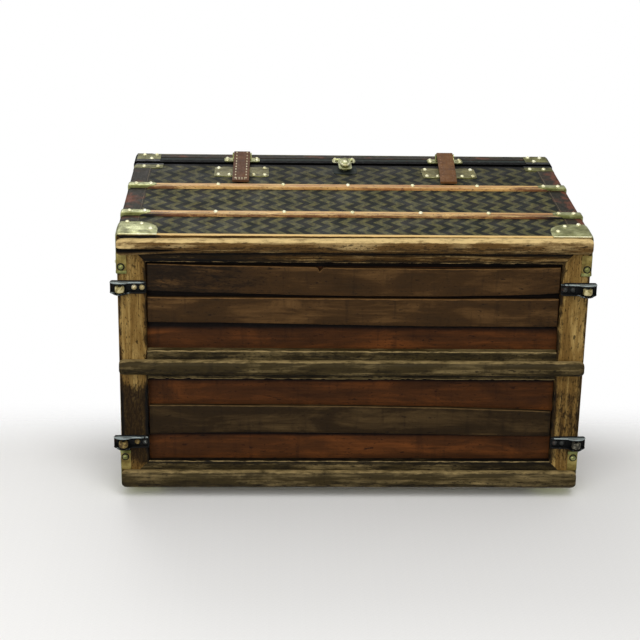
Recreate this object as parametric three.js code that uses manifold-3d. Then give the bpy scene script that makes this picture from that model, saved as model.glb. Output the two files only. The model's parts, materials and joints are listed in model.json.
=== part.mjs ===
// Dome top travelling trunk: a canvas covered wooden box on a mitred beech frame, three
// rounded runners and four end castors, under a hinged dome lid held by two leather straps
// and a centre hasp. Millimetres, +Z up, the front towards -Y, the floor at z = 0.
import * as THREE from 'three';
import { mergeVertices } from 'three/addons/utils/BufferGeometryUtils.js';
import Module from 'manifold-3d';

const wasm = await Module();
wasm.setup();

// Driving sizes of the whole trunk
const trunkWidth = 850;
const trunkDepth = 492;
const rimHeight = 496;
const lidReveal = 10;
const lidBandHeight = 62;
const domeRise = 128;

// Walls, linings and the clearances between fitted pieces
const seat = 0.3;
const overrun = 20;
const bodyWall = 11;
const bodyFloor = 10;
const edgeRounding = 5;
const lidWall = 10;
const liningThickness = 1.5;

// Underside: castors carry the runners a little above the floor
const rollerRadius = 8.5;
const runnerClearance = 6;
const runnerHeight = 16;
const runnerWidth = 30;
const midRunnerWidth = 32;
const backRunnerWidth = 34;
const runnerFlat = 12;
const runnerSide = 5;
const runnerEndBevel = 2.5;
const frameThickness = 16;
const frameWidth = 51;
const midRailWidth = 57;
const midRailOffset = 3;

// Loose looking boards set under the floor: two lie side by side behind the front rail, the
// third lies in the back bay by a share of its depth
const boardThickness = 9;
const boardEndGap = 2;
const boardRailGap = 7.5;
const boardSideGap = 7;
const rearBayShare = 0.5167;
const frontBoard = { width: 55, bow: 5 };
const secondBoard = { width: 53, bow: 2 };
const rearBoard = { width: 53, bow: -4 };

// Beech slats nailed along every face, each by a share of the free height it lies in: the
// lower from the corner irons to the end handles, the upper from there to the keeper plates.
// Those on the ends stop short of the corners, behind the front and back slats' clamps
const slatWidth = 32;
const slatThickness = 8;
const slatRounding = 3.5;
const endSlatInset = 42;
const lowerSlatShare = 0.431;
const upperSlatShare = 0.3523;
const domeSlatAngles = [42, 90, 138];

// Valance and corner caps of the body's rim
const valanceThickness = 2;
const valanceDrop = 26;
const valanceRise = 16;
const rimCapThickness = 1.2;
const rimCapLength = 58;
const rimCapHeight = 34;

// Metal edging of the lid and its corner caps
const lidEdgeHeight = 31;
const lidEdgeThickness = 2;
const lidEdgeFlange = 9;
const lidEdgeFlangeThickness = 1.5;
const lidCapLength = 50;
const lidCapHeight = 58;
const lidCapThickness = 1.2;

// Brass corner irons at the foot of the body
const cornerLength = 72;
const cornerHeight = 60;
const cornerFlat = 40;
const cornerToe = 16;
const cornerThickness = 1.6;
const cornerTabWidth = 38;
const cornerTabReach = 17;

// Castors: a riveted iron fork at each end of the side stiles
const castorFrontInset = 98;
const castorBackInset = 91;
const castorPinInset = 5;
const castorPinRadius = 2.5;
const castorPlateThickness = 2;
const castorPlateWidth = 26;
const castorPlateReach = 52;
const castorLip = 13;
const forkThickness = 2.2;
const forkNose = 6.5;
const forkLipHeight = 4;
const forkFlangeHeight = 4;
const rollerLength = 16;
const rollerCrown = 0.8;
const rivetRadius = 5.5;
const rivetInset = 30;
const rivetPitch = 14;
const runningClearance = 0.3;

// Back hinges with a heel that stops the lid
const hingeOffset = 250;
const hingeWidth = 60;
const hingeLeaf = 2;
const hingeBodyDrop = 58;
const hingeLidRise = 42;
const hingePinRadius = 2;
const hingeBarrelRadius = 4.5;
const hingePinOut = 6.5;
const hingeKnuckle = 18;
const heelLength = 12;
const heelThickness = 5;
const lidOpening = 100;

// Lid straps, their loops on the lid and the keeper plates on the body
const strapOffset = 208;
const strapWidth = 33;
const strapThickness = 4.2;
const strapEndGap = 3;
const strapFall = 2.6;
const strapBarRadius = 2.5;
const strapBarOut = 12;
const strapBarHeight = 24;
const bracketWidth = 72;
const bracketHeight = 28;
const bracketPlate = 1.6;
const bracketEar = 2.5;
const bracketEarNose = 4.5;
const keeperWidth = 108;
const keeperHeight = 68;
const keeperDrop = 24;
const keeperCorner = 6;

// Centre hasp and lock plate
const hasp = { width: 26, thickness: 2.4, drop: 74, bossWidth: 17, bossHeight: 46, bossProud: 7 };
const haspPlateWidth = 47;
const haspPlateHeight = 27;
const haspPlate = 1.6;
const haspBarrelRadius = 3.5;
const haspPinRadius = 1.6;
const haspKnuckle = 12;
const lockPlateHeight = 62;
const lockPlateDrop = 6;

// Leather end handles and their brass loops
const handleHeight = 262;
const handleSpan = 148;
const handleDrop = 46;
const handleOut = 12;
const handleGripThickness = 9;
const handleEyeRadius = 7.5;
const handleEyeLength = 15;
const handleCornerRadius = 26;
const loopPinRadius = 2.5;
const loopPlateWidth = 34;
const loopPlateHeight = 44;
const loopPlateThickness = 2;
const loopEarThickness = 3;
const loopEarNose = 5;

// Heights and planes that follow from the sizes above
const frameBase = runnerClearance + runnerHeight;
const bodyBase = frameBase + frameThickness;
const halfWidth = trunkWidth / 2;
const halfDepth = trunkDepth / 2;
const lidBase = rimHeight + lidReveal;
const lidShellBase = lidBase + lidEdgeFlangeThickness + seat;
const bandTop = lidBase + lidBandHeight;
const lidEdgeFace = seat + lidEdgeThickness;
const hingePinHeight = rimHeight + lidReveal / 2;

// Free heights of the two rows of slats, between the fittings above and below them
const cornerTop = bodyBase + seat + cornerHeight;
const handleBottom = handleHeight - handleDrop - handleEyeLength / 2;
const lowerSlatRoom = handleBottom - cornerTop - slatWidth;
const lowerSlatHeight = cornerTop + lowerSlatShare * lowerSlatRoom + slatWidth / 2;
const handleTop = handleHeight + loopPlateHeight / 2;
const keeperBottom = rimHeight - keeperDrop - keeperHeight;
const upperSlatRoom = keeperBottom - handleTop - slatWidth;
const upperSlatHeight = handleTop + upperSlatShare * upperSlatRoom + slatWidth / 2;

const material = (color, roughness, metalness) =>
  new THREE.MeshStandardMaterial({ color, roughness, metalness });
const canvasCovered = material(0x4b4a38, 0.7, 0);
const paleBeech = material(0xb08f5c, 0.62, 0);
const wornBeech = material(0x6b5740, 0.7, 0);
const honeyBeech = material(0xc79a5e, 0.45, 0);
const darkBoard = material(0x3a2c22, 0.72, 0);
const lining = material(0xb9a888, 0.9, 0);
const brass = material(0xa6a56c, 0.35, 1);
const iron = material(0x2b2a29, 0.45, 0.9);
const steel = material(0x9a9788, 0.4, 1);
const leather = material(0x6b4331, 0.6, 0);

const trunk = new THREE.Group();

function addPiece(name, geometry, finish) {
  const mesh = new THREE.Mesh(geometry, finish);
  mesh.name = name;
  trunk.add(mesh);
  return mesh;
}

// Positions alone, with shared corners merged
function welded(geometry) {
  const bare = geometry.clone();
  bare.deleteAttribute('normal');
  bare.deleteAttribute('uv');
  return mergeVertices(bare);
}

// Closed geometry to a manifold solid, and back
function toSolid(geometry) {
  const merged = welded(geometry);
  return new wasm.Manifold(new wasm.Mesh({
    numProp: 3,
    vertProperties: Float32Array.from(merged.attributes.position.array),
    triVerts: Uint32Array.from(merged.index.array),
  }));
}

function toGeometry(solid) {
  const mesh = solid.getMesh();
  const geometry = new THREE.BufferGeometry();
  geometry.setAttribute('position', new THREE.BufferAttribute(mesh.vertProperties, 3));
  geometry.setIndex(new THREE.BufferAttribute(mesh.triVerts, 1));
  geometry.computeVertexNormals();
  return geometry;
}

function joined(first, ...others) {
  let solid = toSolid(first);
  for (const other of others) solid = solid.add(toSolid(other));
  return toGeometry(solid);
}

function cut(first, ...tools) {
  let solid = toSolid(first);
  for (const tool of tools) solid = solid.subtract(toSolid(tool));
  return toGeometry(solid);
}

function common(first, second) {
  return toGeometry(toSolid(first).intersect(toSolid(second)));
}

// The same piece on the other side: sideX and sideY are 1 or -1
function mirrored(geometry, sideX, sideY) {
  const copy = welded(geometry);
  copy.scale(sideX, sideY, 1);
  if (sideX * sideY < 0) {
    const index = copy.index.array;
    for (let corner = 0; corner < index.length; corner += 3) {
      const kept = index[corner + 1];
      index[corner + 1] = index[corner + 2];
      index[corner + 2] = kept;
    }
  }
  copy.computeVertexNormals();
  return copy;
}

// A box between two corners
function boxBetween(low, high) {
  const size = high.map((value, axis) => value - low[axis]);
  const geometry = new THREE.BoxGeometry(...size);
  geometry.translate(...high.map((value, axis) => (value + low[axis]) / 2));
  return geometry;
}

function roundedRectangle(width, height, radius) {
  const right = width / 2;
  const top = height / 2;
  const shape = new THREE.Shape();
  shape.moveTo(-right + radius, -top);
  shape.lineTo(right - radius, -top);
  shape.absarc(right - radius, -top + radius, radius, -Math.PI / 2, 0, false);
  shape.absarc(right - radius, top - radius, radius, 0, Math.PI / 2, false);
  shape.absarc(-right + radius, top - radius, radius, Math.PI / 2, Math.PI, false);
  shape.absarc(-right + radius, -top + radius, radius, Math.PI, 3 * Math.PI / 2, false);
  return shape;
}

function polygon(points) {
  return new THREE.Shape(points.map(([x, y]) => new THREE.Vector2(x, y)));
}

// Outlines: flat ones grow along +Z, front ones along -Y, end ones along +X
const flatBasis = new THREE.Matrix4();
const frontBasis = new THREE.Matrix4().makeBasis(
  new THREE.Vector3(1, 0, 0), new THREE.Vector3(0, 0, 1), new THREE.Vector3(0, -1, 0));
const endBasis = new THREE.Matrix4().makeBasis(
  new THREE.Vector3(0, 1, 0), new THREE.Vector3(0, 0, 1), new THREE.Vector3(1, 0, 0));

function grown(shape, depth, basis, curveSegments = 6, bevel = 0) {
  const geometry = new THREE.ExtrudeGeometry(shape, {
    depth: depth - 2 * bevel,
    steps: 1,
    curveSegments,
    bevelEnabled: bevel > 0,
    bevelThickness: bevel,
    bevelSize: bevel,
    bevelOffset: -bevel,
    bevelSegments: 2,
  });
  geometry.translate(0, 0, bevel);
  geometry.applyMatrix4(basis);
  return geometry;
}

// A rounded box standing on z = low
function roundedBlock(width, depth, low, high, radius) {
  const geometry = grown(roundedRectangle(width, depth, radius), high - low, flatBasis, 4);
  geometry.translate(0, 0, low);
  return geometry;
}

// A rectangular ring: an outer block less an inner one
function ringBlock(outer, inner, low, high, outerRounding, innerRounding) {
  const block = roundedBlock(outer[0], outer[1], low, high, outerRounding);
  const hole = roundedBlock(inner[0], inner[1], low - overrun, high + overrun, innerRounding);
  return cut(block, hole);
}

// Four boxes over the corners of the plan, each reaching inwards along both sides
function cornerBlocks(length, low, high) {
  const far = overrun;
  const boxes = [];
  for (const sideX of [-1, 1]) {
    for (const sideY of [-1, 1]) {
      const x = [sideX * (halfWidth - length), sideX * (halfWidth + far)].sort((a, b) => a - b);
      const y = [sideY * (halfDepth - length), sideY * (halfDepth + far)].sort((a, b) => a - b);
      boxes.push(boxBetween([x[0], y[0], low], [x[1], y[1], high]));
    }
  }
  return joined(...boxes);
}

// Body: one open wooden box, its floor the red brown panel that shows between the boards
function addBody() {
  const outside = roundedBlock(trunkWidth, trunkDepth, bodyBase + seat, rimHeight, edgeRounding);
  const inside = boxBetween(
    [-halfWidth + bodyWall, -halfDepth + bodyWall, bodyBase + seat + bodyFloor],
    [halfWidth - bodyWall, halfDepth - bodyWall, rimHeight + overrun]);
  addPiece('body_carcass', cut(outside, inside), canvasCovered);

  const gap = bodyWall + seat;
  const liningTop = rimHeight - valanceDrop - seat;
  const liningBase = bodyBase + seat + bodyFloor + seat;
  const cloth = boxBetween(
    [-halfWidth + gap, -halfDepth + gap, liningBase],
    [halfWidth - gap, halfDepth - gap, liningTop]);
  const room = boxBetween(
    [-halfWidth + gap + liningThickness, -halfDepth + gap + liningThickness,
      liningBase + liningThickness],
    [halfWidth - gap - liningThickness, halfDepth - gap - liningThickness, liningTop + overrun]);
  addPiece('body_lining', cut(cloth, room), lining);
}

// Rim: a black valance inside the walls that locates the lid, with brass caps over the corners
function addBodyRim() {
  const outer = [trunkWidth - 2 * (bodyWall + seat), trunkDepth - 2 * (bodyWall + seat)];
  const inner = outer.map((size) => size - 2 * valanceThickness);
  const valance = ringBlock(outer, inner, rimHeight - valanceDrop, rimHeight + valanceRise,
    edgeRounding, edgeRounding - valanceThickness);

  const reach = seat + rimCapThickness;
  const capTop = rimHeight + reach;
  const capBase = rimHeight - rimCapHeight;
  const sleeve = roundedBlock(trunkWidth + 2 * reach, trunkDepth + 2 * reach, capBase, capTop,
    edgeRounding + reach);
  const core = roundedBlock(trunkWidth + 2 * seat, trunkDepth + 2 * seat, capBase - overrun,
    rimHeight + seat, edgeRounding + seat);
  const mouth = roundedBlock(inner[0], inner[1], capBase - overrun, capTop + overrun,
    edgeRounding - valanceThickness);
  const caps = common(cut(sleeve, core, mouth),
    cornerBlocks(rimCapLength, capBase, capTop));
  addPiece('body_rim', joined(valance, caps), iron);
}

// Bottom frame: four mitred members and a middle rail let in between the stiles
function mitredMember(length, width) {
  const gap = seat / 2;
  const half = length / 2;
  const member = polygon([
    [-half + gap, 0], [half - gap, 0], [half - width - gap, width], [-half + width + gap, width],
  ]);
  return grown(member, frameThickness, flatBasis);
}

function addFrame() {
  const rail = mitredMember(trunkWidth, frameWidth);
  const stile = mitredMember(trunkDepth, frameWidth);
  const places = [
    ['frame_front_rail', rail, 0, 0, -halfDepth],
    ['frame_back_rail', rail, Math.PI, 0, halfDepth],
    ['frame_left_stile', stile, -Math.PI / 2, -halfWidth, 0],
    ['frame_right_stile', stile, Math.PI / 2, halfWidth, 0],
  ];
  for (const [name, geometry, turn, x, y] of places) {
    const member = addPiece(name, geometry.clone(), paleBeech);
    member.rotation.z = turn;
    member.position.set(x, y, frameBase);
  }
  const midHalf = halfWidth - frameWidth - seat;
  const midRail = boxBetween(
    [-midHalf, midRailOffset - midRailWidth / 2, frameBase],
    [midHalf, midRailOffset + midRailWidth / 2, bodyBase]);
  addPiece('frame_middle_rail', midRail, wornBeech);
}

// Runners: rounded bars, flat where they rest, with eased ends
function runnerProfile(width) {
  const half = width / 2;
  const foot = runnerFlat / 2;
  const bend = runnerHeight - runnerSide;
  const shape = new THREE.Shape();
  shape.moveTo(-foot, 0);
  shape.lineTo(foot, 0);
  shape.absellipse(foot, bend, half - foot, bend, -Math.PI / 2, 0, false);
  shape.lineTo(half, runnerHeight - seat);
  shape.lineTo(-half, runnerHeight - seat);
  shape.lineTo(-half, bend);
  shape.absellipse(-foot, bend, half - foot, bend, Math.PI, 3 * Math.PI / 2, false);
  return shape;
}

function addRunners() {
  const places = [
    ['runner_front', runnerWidth, -halfDepth + runnerWidth / 2],
    ['runner_middle', midRunnerWidth, midRailOffset],
    ['runner_back', backRunnerWidth, halfDepth - backRunnerWidth / 2],
  ];
  for (const [name, width, offset] of places) {
    const bar = grown(runnerProfile(width), trunkWidth, endBasis, 6, runnerEndBevel);
    const runner = addPiece(name, bar, wornBeech);
    runner.position.set(-halfWidth, offset, runnerClearance);
  }
}

// Bottom boards: long edges bowed by the amount each board has warped
function addBoards() {
  const frontOffset = -halfDepth + frameWidth + boardRailGap + frontBoard.width / 2;
  const pitch = (frontBoard.width + secondBoard.width) / 2 + boardSideGap;
  const bayFront = midRailOffset + midRailWidth / 2;
  const rearOffset = bayFront + rearBayShare * (halfDepth - frameWidth - bayFront);
  const boards = [
    ['bottom_board_front', frontBoard, frontOffset],
    ['bottom_board_second', secondBoard, frontOffset + pitch],
    ['bottom_board_rear', rearBoard, rearOffset],
  ];
  for (const [name, board, offset] of boards) {
    const half = halfWidth - frameWidth - boardEndGap;
    const edge = board.width / 2;
    const shape = new THREE.Shape();
    shape.moveTo(-half, -edge);
    shape.quadraticCurveTo(0, -edge + board.bow, half, -edge);
    shape.lineTo(half, edge);
    shape.quadraticCurveTo(0, edge + board.bow, -half, edge);
    const plank = addPiece(name, grown(shape, boardThickness, flatBasis, 12), darkBoard);
    plank.position.set(0, offset, bodyBase - boardThickness);
  }
}

// Slats: flat backed strips with a softly rounded face
function slatProfile() {
  const half = slatWidth / 2;
  const shape = new THREE.Shape();
  shape.moveTo(-half, 0);
  shape.lineTo(half, 0);
  shape.lineTo(half, slatThickness - slatRounding);
  shape.absarc(half - slatRounding, slatThickness - slatRounding, slatRounding, 0,
    Math.PI / 2, false);
  shape.absarc(-half + slatRounding, slatThickness - slatRounding, slatRounding, Math.PI / 2,
    Math.PI, false);
  return shape;
}

// A slat lying along X with its back on the plane z = 0 and its face towards +Z
function slatAlongX(length) {
  const slat = grown(slatProfile(), length, endBasis, 3);
  slat.translate(-length / 2, 0, 0);
  return slat;
}

function addSlats() {
  const heights = [['upper', upperSlatHeight], ['lower', lowerSlatHeight]];
  const endLength = trunkDepth - 2 * endSlatInset;
  for (const [level, height] of heights) {
    const sides = [
      ['front', trunkWidth, 0, 0, -halfDepth - seat],
      ['back', trunkWidth, Math.PI, 0, halfDepth + seat],
      ['left', endLength, -Math.PI / 2, -halfWidth - seat, 0],
      ['right', endLength, Math.PI / 2, halfWidth + seat, 0],
    ];
    for (const [side, length, turn, x, y] of sides) {
      const slat = slatAlongX(length);
      slat.rotateX(Math.PI / 2);
      slat.rotateZ(turn);
      addPiece(`slat_${side}_${level}`, slat, honeyBeech).position.set(x, y, height);
    }
  }
}

// Corner irons: a rounded wing on both faces, joined over the edge, and a tab bent underneath
function cornerWing(way) {
  const shape = new THREE.Shape();
  shape.moveTo(-way * cornerThickness, 0);
  shape.lineTo(way * cornerLength, 0);
  shape.lineTo(way * cornerLength, cornerToe);
  shape.quadraticCurveTo(way * cornerLength, cornerHeight - cornerToe, way * cornerFlat,
    cornerHeight);
  shape.lineTo(-way * cornerThickness, cornerHeight);
  return shape;
}

function cornerIron() {
  const reach = seat + cornerThickness;
  const base = bodyBase + seat;
  const front = grown(cornerWing(-1), cornerThickness, frontBasis);
  front.translate(halfWidth + seat, -halfDepth - seat, base);
  const side = grown(cornerWing(1), cornerThickness, endBasis);
  side.translate(halfWidth + seat, -halfDepth - seat, base);
  const tabFar = -halfDepth + cornerLength;
  const tabNear = tabFar - cornerTabWidth;
  const tabSide = boxBetween(
    [halfWidth + seat, tabNear, frameBase - reach],
    [halfWidth + reach, tabFar, base + cornerToe]);
  const tabFoot = boxBetween(
    [halfWidth - cornerTabReach, tabNear, frameBase - reach],
    [halfWidth + reach, tabFar, frameBase - seat]);
  return joined(front, side, tabSide, tabFoot);
}

function addCornerIrons() {
  const iron = cornerIron();
  const places = [
    ['corner_front_right', 1, 1], ['corner_front_left', -1, 1],
    ['corner_back_right', 1, -1], ['corner_back_left', -1, -1],
  ];
  for (const [name, sideX, sideY] of places) {
    addPiece(name, mirrored(iron, sideX, sideY), brass);
  }
}

// Castor fork: a channel under the stile whose flanges grow into two ears past the trunk's
// end, with the pin and domed rivets
function castorFork() {
  const plateTop = frameBase - seat;
  const plateBase = plateTop - castorPlateThickness;
  const pinX = halfWidth - castorPinInset;
  const inner = halfWidth - castorPlateReach;
  const plate = boxBetween(
    [inner, -castorPlateWidth / 2, plateBase],
    [halfWidth + castorLip, castorPlateWidth / 2, plateTop]);
  const ear = new THREE.Shape();
  ear.moveTo(inner, plateTop);
  ear.lineTo(halfWidth + castorLip, plateTop);
  ear.lineTo(halfWidth + castorLip, plateBase - forkLipHeight);
  ear.lineTo(pinX + forkNose, rollerRadius);
  ear.absarc(pinX, rollerRadius, forkNose, 0, -Math.PI, true);
  ear.lineTo(pinX - 2 * forkNose, plateBase - forkFlangeHeight);
  ear.lineTo(inner, plateBase - forkFlangeHeight / 2);
  const parts = [plate];
  const earGap = rollerLength / 2 + runningClearance;
  for (const start of [-earGap, earGap + forkThickness]) {
    const wing = grown(ear, forkThickness, frontBasis, 6);
    wing.translate(0, start, 0);
    parts.push(wing);
  }
  const pinLength = 2 * (earGap + forkThickness) + castorPlateThickness;
  const pin = new THREE.CylinderGeometry(castorPinRadius, castorPinRadius, pinLength, 16);
  pin.translate(pinX, 0, rollerRadius);
  parts.push(pin);
  for (const place of [rivetInset, rivetInset + rivetPitch]) {
    const head = new THREE.SphereGeometry(rivetRadius, 12, 8);
    head.rotateX(Math.PI / 2);
    head.translate(halfWidth - place, 0, plateBase + castorPlateThickness / 2);
    const above = boxBetween(
      [halfWidth - place - overrun, -overrun, plateTop],
      [halfWidth - place + overrun, overrun, plateTop + overrun]);
    parts.push(cut(head, above));
  }
  return joined(...parts);
}

function castorRoller() {
  const half = rollerLength / 2;
  const bore = castorPinRadius + runningClearance;
  const shoulder = rollerRadius - rollerCrown;
  const profile = [
    [bore, -half], [shoulder, -half], [rollerRadius, -half + rollerCrown],
    [rollerRadius, half - rollerCrown], [shoulder, half], [bore, half], [bore, -half],
  ];
  return new THREE.LatheGeometry(profile.map(([r, y]) => new THREE.Vector2(r, y)), 24);
}

function addCastors() {
  const fork = castorFork();
  const front = -halfDepth + castorFrontInset;
  const back = halfDepth - castorBackInset;
  const places = [
    ['front_right', 1, front], ['front_left', -1, front],
    ['back_right', 1, back], ['back_left', -1, back],
  ];
  for (const [name, side, offset] of places) {
    addPiece(`castor_fork_${name}`, mirrored(fork, side, 1), iron).position.y = offset;
    const roller = addPiece(`castor_roller_${name}`, castorRoller(), steel);
    roller.position.set(side * (halfWidth - castorPinInset), offset, rollerRadius);
  }
}

// Dome profile across the trunk: straight sides up to the band, then half an ellipse
function domeProfile(inset, base) {
  const half = halfDepth - inset;
  const shape = new THREE.Shape();
  shape.moveTo(-half, base);
  shape.lineTo(half, base);
  shape.lineTo(half, bandTop);
  shape.absellipse(0, bandTop, half, domeRise - inset, 0, Math.PI, false);
  return shape;
}

function domeBlock(inset, base) {
  const block = grown(domeProfile(inset, base), trunkWidth - 2 * inset, endBasis, 16);
  block.translate(-halfWidth + inset, 0, 0);
  return block;
}

function addLid() {
  const outside = domeBlock(0, lidShellBase);
  const inside = domeBlock(lidWall, lidShellBase - overrun);
  addPiece('lid_shell', cut(outside, inside), canvasCovered);

  const liningBase = rimHeight + valanceRise + 2 * lidEdgeFlangeThickness;
  const cloth = domeBlock(lidWall + seat, liningBase);
  const room = domeBlock(lidWall + seat + liningThickness, liningBase - overrun);
  addPiece('lid_lining', cut(cloth, room), lining);

  const turns = ['front', 'top', 'back'];
  domeSlatAngles.forEach((angle, number) => {
    const turn = THREE.MathUtils.degToRad(180 - angle);
    const y = halfDepth * Math.cos(turn);
    const z = domeRise * Math.sin(turn);
    const normal = new THREE.Vector2(y / halfDepth ** 2, z / domeRise ** 2).normalize();
    const slat = slatAlongX(trunkWidth);
    slat.rotateX(Math.atan2(-normal.x, normal.y));
    const place = addPiece(`lid_slat_${turns[number]}`, slat, honeyBeech);
    place.position.set(0, y + seat * normal.x, bandTop + z + seat * normal.y);
  });
}

// Lid edging: an L section band round the lid, with thicker caps over its corners
function addLidEdge() {
  const reach = lidEdgeFace;
  const outer = [trunkWidth + 2 * reach, trunkDepth + 2 * reach];
  const face = [trunkWidth + 2 * seat, trunkDepth + 2 * seat];
  const lip = [trunkWidth - 2 * lidEdgeFlange, trunkDepth - 2 * lidEdgeFlange];
  const top = lidBase + lidEdgeHeight;
  const flangeTop = lidBase + lidEdgeFlangeThickness;
  const corner = seat + edgeRounding;
  const band = ringBlock(outer, face, lidBase, top, corner + lidEdgeThickness, seat);
  const flange = ringBlock(outer, lip, lidBase, flangeTop, corner + lidEdgeThickness,
    edgeRounding / 2);
  const capReach = reach + lidCapThickness;
  const capOuter = [trunkWidth + 2 * capReach, trunkDepth + 2 * capReach];
  const capTop = lidBase + lidCapHeight;
  const sleeve = ringBlock(capOuter, face, lidBase, capTop, corner + lidEdgeThickness
    + lidCapThickness, seat);
  const caps = common(sleeve, cornerBlocks(lidCapLength, lidBase, capTop));
  addPiece('lid_edge', joined(band, flange, caps), iron);
}

// Hinges: the body leaf carries the pin, the lid leaf's knuckle turns on it and has a heel
// that comes down on the body leaf when the lid is fully open
function hingeBarrel(radius, length, centre) {
  const barrel = new THREE.CylinderGeometry(radius, radius, length, 20);
  barrel.rotateZ(Math.PI / 2);
  barrel.translate(centre, halfDepth + hingePinOut, hingePinHeight);
  return barrel;
}

function addHinges() {
  const leafBase = halfDepth + seat;
  const leafFace = leafBase + hingeLeaf;
  const half = hingeWidth / 2;
  const bodyLeaf = boxBetween(
    [-half, leafBase, rimHeight - hingeBodyDrop], [half, leafFace, rimHeight - seat]);
  const fixed = [bodyLeaf, hingeBarrel(hingePinRadius, hingeWidth, 0)];
  const knuckleCentre = half - hingeKnuckle / 2;
  for (const centre of [-knuckleCentre, knuckleCentre]) {
    fixed.push(hingeBarrel(hingeBarrelRadius, hingeKnuckle, centre));
    fixed.push(boxBetween(
      [centre - hingeKnuckle / 2, leafBase, rimHeight - hingeBarrelRadius],
      [centre + hingeKnuckle / 2, halfDepth + hingePinOut, hingePinHeight]));
  }
  const bodyHinge = joined(...fixed);

  const lidFace = halfDepth + lidEdgeFace + seat;
  const tongue = hingeWidth / 2 - hingeKnuckle - seat;
  const lidLeaf = boxBetween(
    [-half, lidFace, lidBase + seat], [half, lidFace + hingeLeaf, hingePinHeight + hingeLidRise]);
  const neck = boxBetween(
    [-tongue, lidFace, hingePinHeight], [tongue, lidFace + hingeLeaf, lidBase + 2 * seat]);
  const heel = boxBetween(
    [-tongue, 0, -heelThickness / 2], [tongue, heelLength, heelThickness / 2]);
  heel.rotateX(-heelAngle());
  heel.translate(0, halfDepth + hingePinOut, hingePinHeight);
  const bore = hingeBarrel(hingePinRadius + runningClearance, hingeWidth, 0);
  const turning = joined(lidLeaf, neck, heel, hingeBarrel(hingeBarrelRadius, 2 * tongue, 0));
  const lidHinge = cut(turning, bore);

  for (const [name, side] of [['left', -1], ['right', 1]]) {
    addPiece(`hinge_body_${name}`, bodyHinge.clone(), brass).position.x = side * hingeOffset;
    addPiece(`hinge_lid_${name}`, lidHinge.clone(), brass).position.x = side * hingeOffset;
  }
}

// The heel's angle below level at rest: after the lid's opening its tip meets the body leaf
function heelAngle() {
  const across = hingePinOut - hingeLeaf - 2 * seat;
  const tip = Math.hypot(heelLength, heelThickness / 2);
  const lead = Math.atan2(heelThickness / 2, heelLength);
  const landing = Math.PI - Math.acos(across / tip) - lead;
  return landing - THREE.MathUtils.degToRad(lidOpening);
}

// Straps: a loop of leather round the lid's bar, hanging over the keeper plate to the slat
function strapGeometry(barY, barZ) {
  const loopOuter = strapBarRadius + runningClearance + strapThickness;
  const bottom = upperSlatHeight + slatWidth / 2 + strapEndGap;
  const inner = -halfDepth - seat - bracketPlate - strapFall;
  const tail = polygon([
    [barY, barZ + strapThickness / 2],
    [barY - loopOuter + strapThickness / 4, barZ],
    [inner - strapThickness, bottom],
    [inner, bottom],
    [barY + strapThickness / 4, barZ - strapThickness],
  ]);
  const loop = new THREE.CylinderGeometry(loopOuter, loopOuter, strapWidth, 24);
  loop.rotateZ(Math.PI / 2);
  loop.translate(0, barY, barZ);
  const hanging = grown(tail, strapWidth, endBasis);
  hanging.translate(-strapWidth / 2, 0, 0);
  const boreRadius = strapBarRadius + runningClearance;
  const bore = new THREE.CylinderGeometry(boreRadius, boreRadius, strapWidth + overrun, 16);
  bore.rotateZ(Math.PI / 2);
  bore.translate(0, barY, barZ);
  return cut(joined(hanging, loop), bore);
}

function strapBracket(barY, barZ) {
  const plateBack = -halfDepth - lidEdgeFace - seat;
  const low = lidBase + (lidEdgeHeight - bracketHeight) / 2;
  const plate = grown(roundedRectangle(bracketWidth, bracketHeight, keeperCorner),
    bracketPlate, frontBasis, 3);
  plate.translate(0, plateBack, low + bracketHeight / 2);
  const parts = [plate];
  const earStart = strapWidth / 2 + runningClearance;
  const ear = new THREE.Shape();
  ear.moveTo(plateBack - bracketPlate / 2, barZ - 2 * bracketEarNose);
  ear.lineTo(plateBack - bracketPlate / 2, barZ + bracketEarNose);
  ear.lineTo(barY, barZ + bracketEarNose);
  ear.absarc(barY, barZ, bracketEarNose, Math.PI / 2, 3 * Math.PI / 2, false);
  for (const start of [-earStart - bracketEar, earStart]) {
    const wing = grown(ear, bracketEar, endBasis, 4);
    wing.translate(start, 0, 0);
    parts.push(wing);
  }
  const length = 2 * (earStart + bracketEar);
  const bar = new THREE.CylinderGeometry(strapBarRadius, strapBarRadius, length, 16);
  bar.rotateZ(Math.PI / 2);
  bar.translate(0, barY, barZ);
  parts.push(bar);
  return joined(...parts);
}

function addStraps() {
  const barY = -halfDepth - strapBarOut;
  const barZ = lidBase + strapBarHeight;
  const bracket = strapBracket(barY, barZ);
  const strap = strapGeometry(barY, barZ);
  const keeper = grown(roundedRectangle(keeperWidth, keeperHeight, keeperCorner), bracketPlate,
    frontBasis, 3);
  keeper.translate(0, -halfDepth - seat, rimHeight - keeperDrop - keeperHeight / 2);
  for (const [name, side] of [['left', -1], ['right', 1]]) {
    addPiece(`strap_bracket_${name}`, bracket.clone(), brass).position.x = side * strapOffset;
    addPiece(`strap_${name}`, strap.clone(), leather).position.x = side * strapOffset;
    addPiece(`keeper_plate_${name}`, keeper.clone(), brass).position.x = side * strapOffset;
  }
}

// Hasp: hangs from the lid's plate over the body's lock plate, an oval boss at its foot
function haspBarrel(radius, length, centre, pinY, pinZ) {
  const barrel = new THREE.CylinderGeometry(radius, radius, length, 16);
  barrel.rotateZ(Math.PI / 2);
  barrel.translate(centre, pinY, pinZ);
  return barrel;
}

function ovalShape(width, height) {
  const shape = new THREE.Shape();
  shape.absellipse(0, 0, width / 2, height / 2, 0, 2 * Math.PI, false);
  return shape;
}

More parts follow.
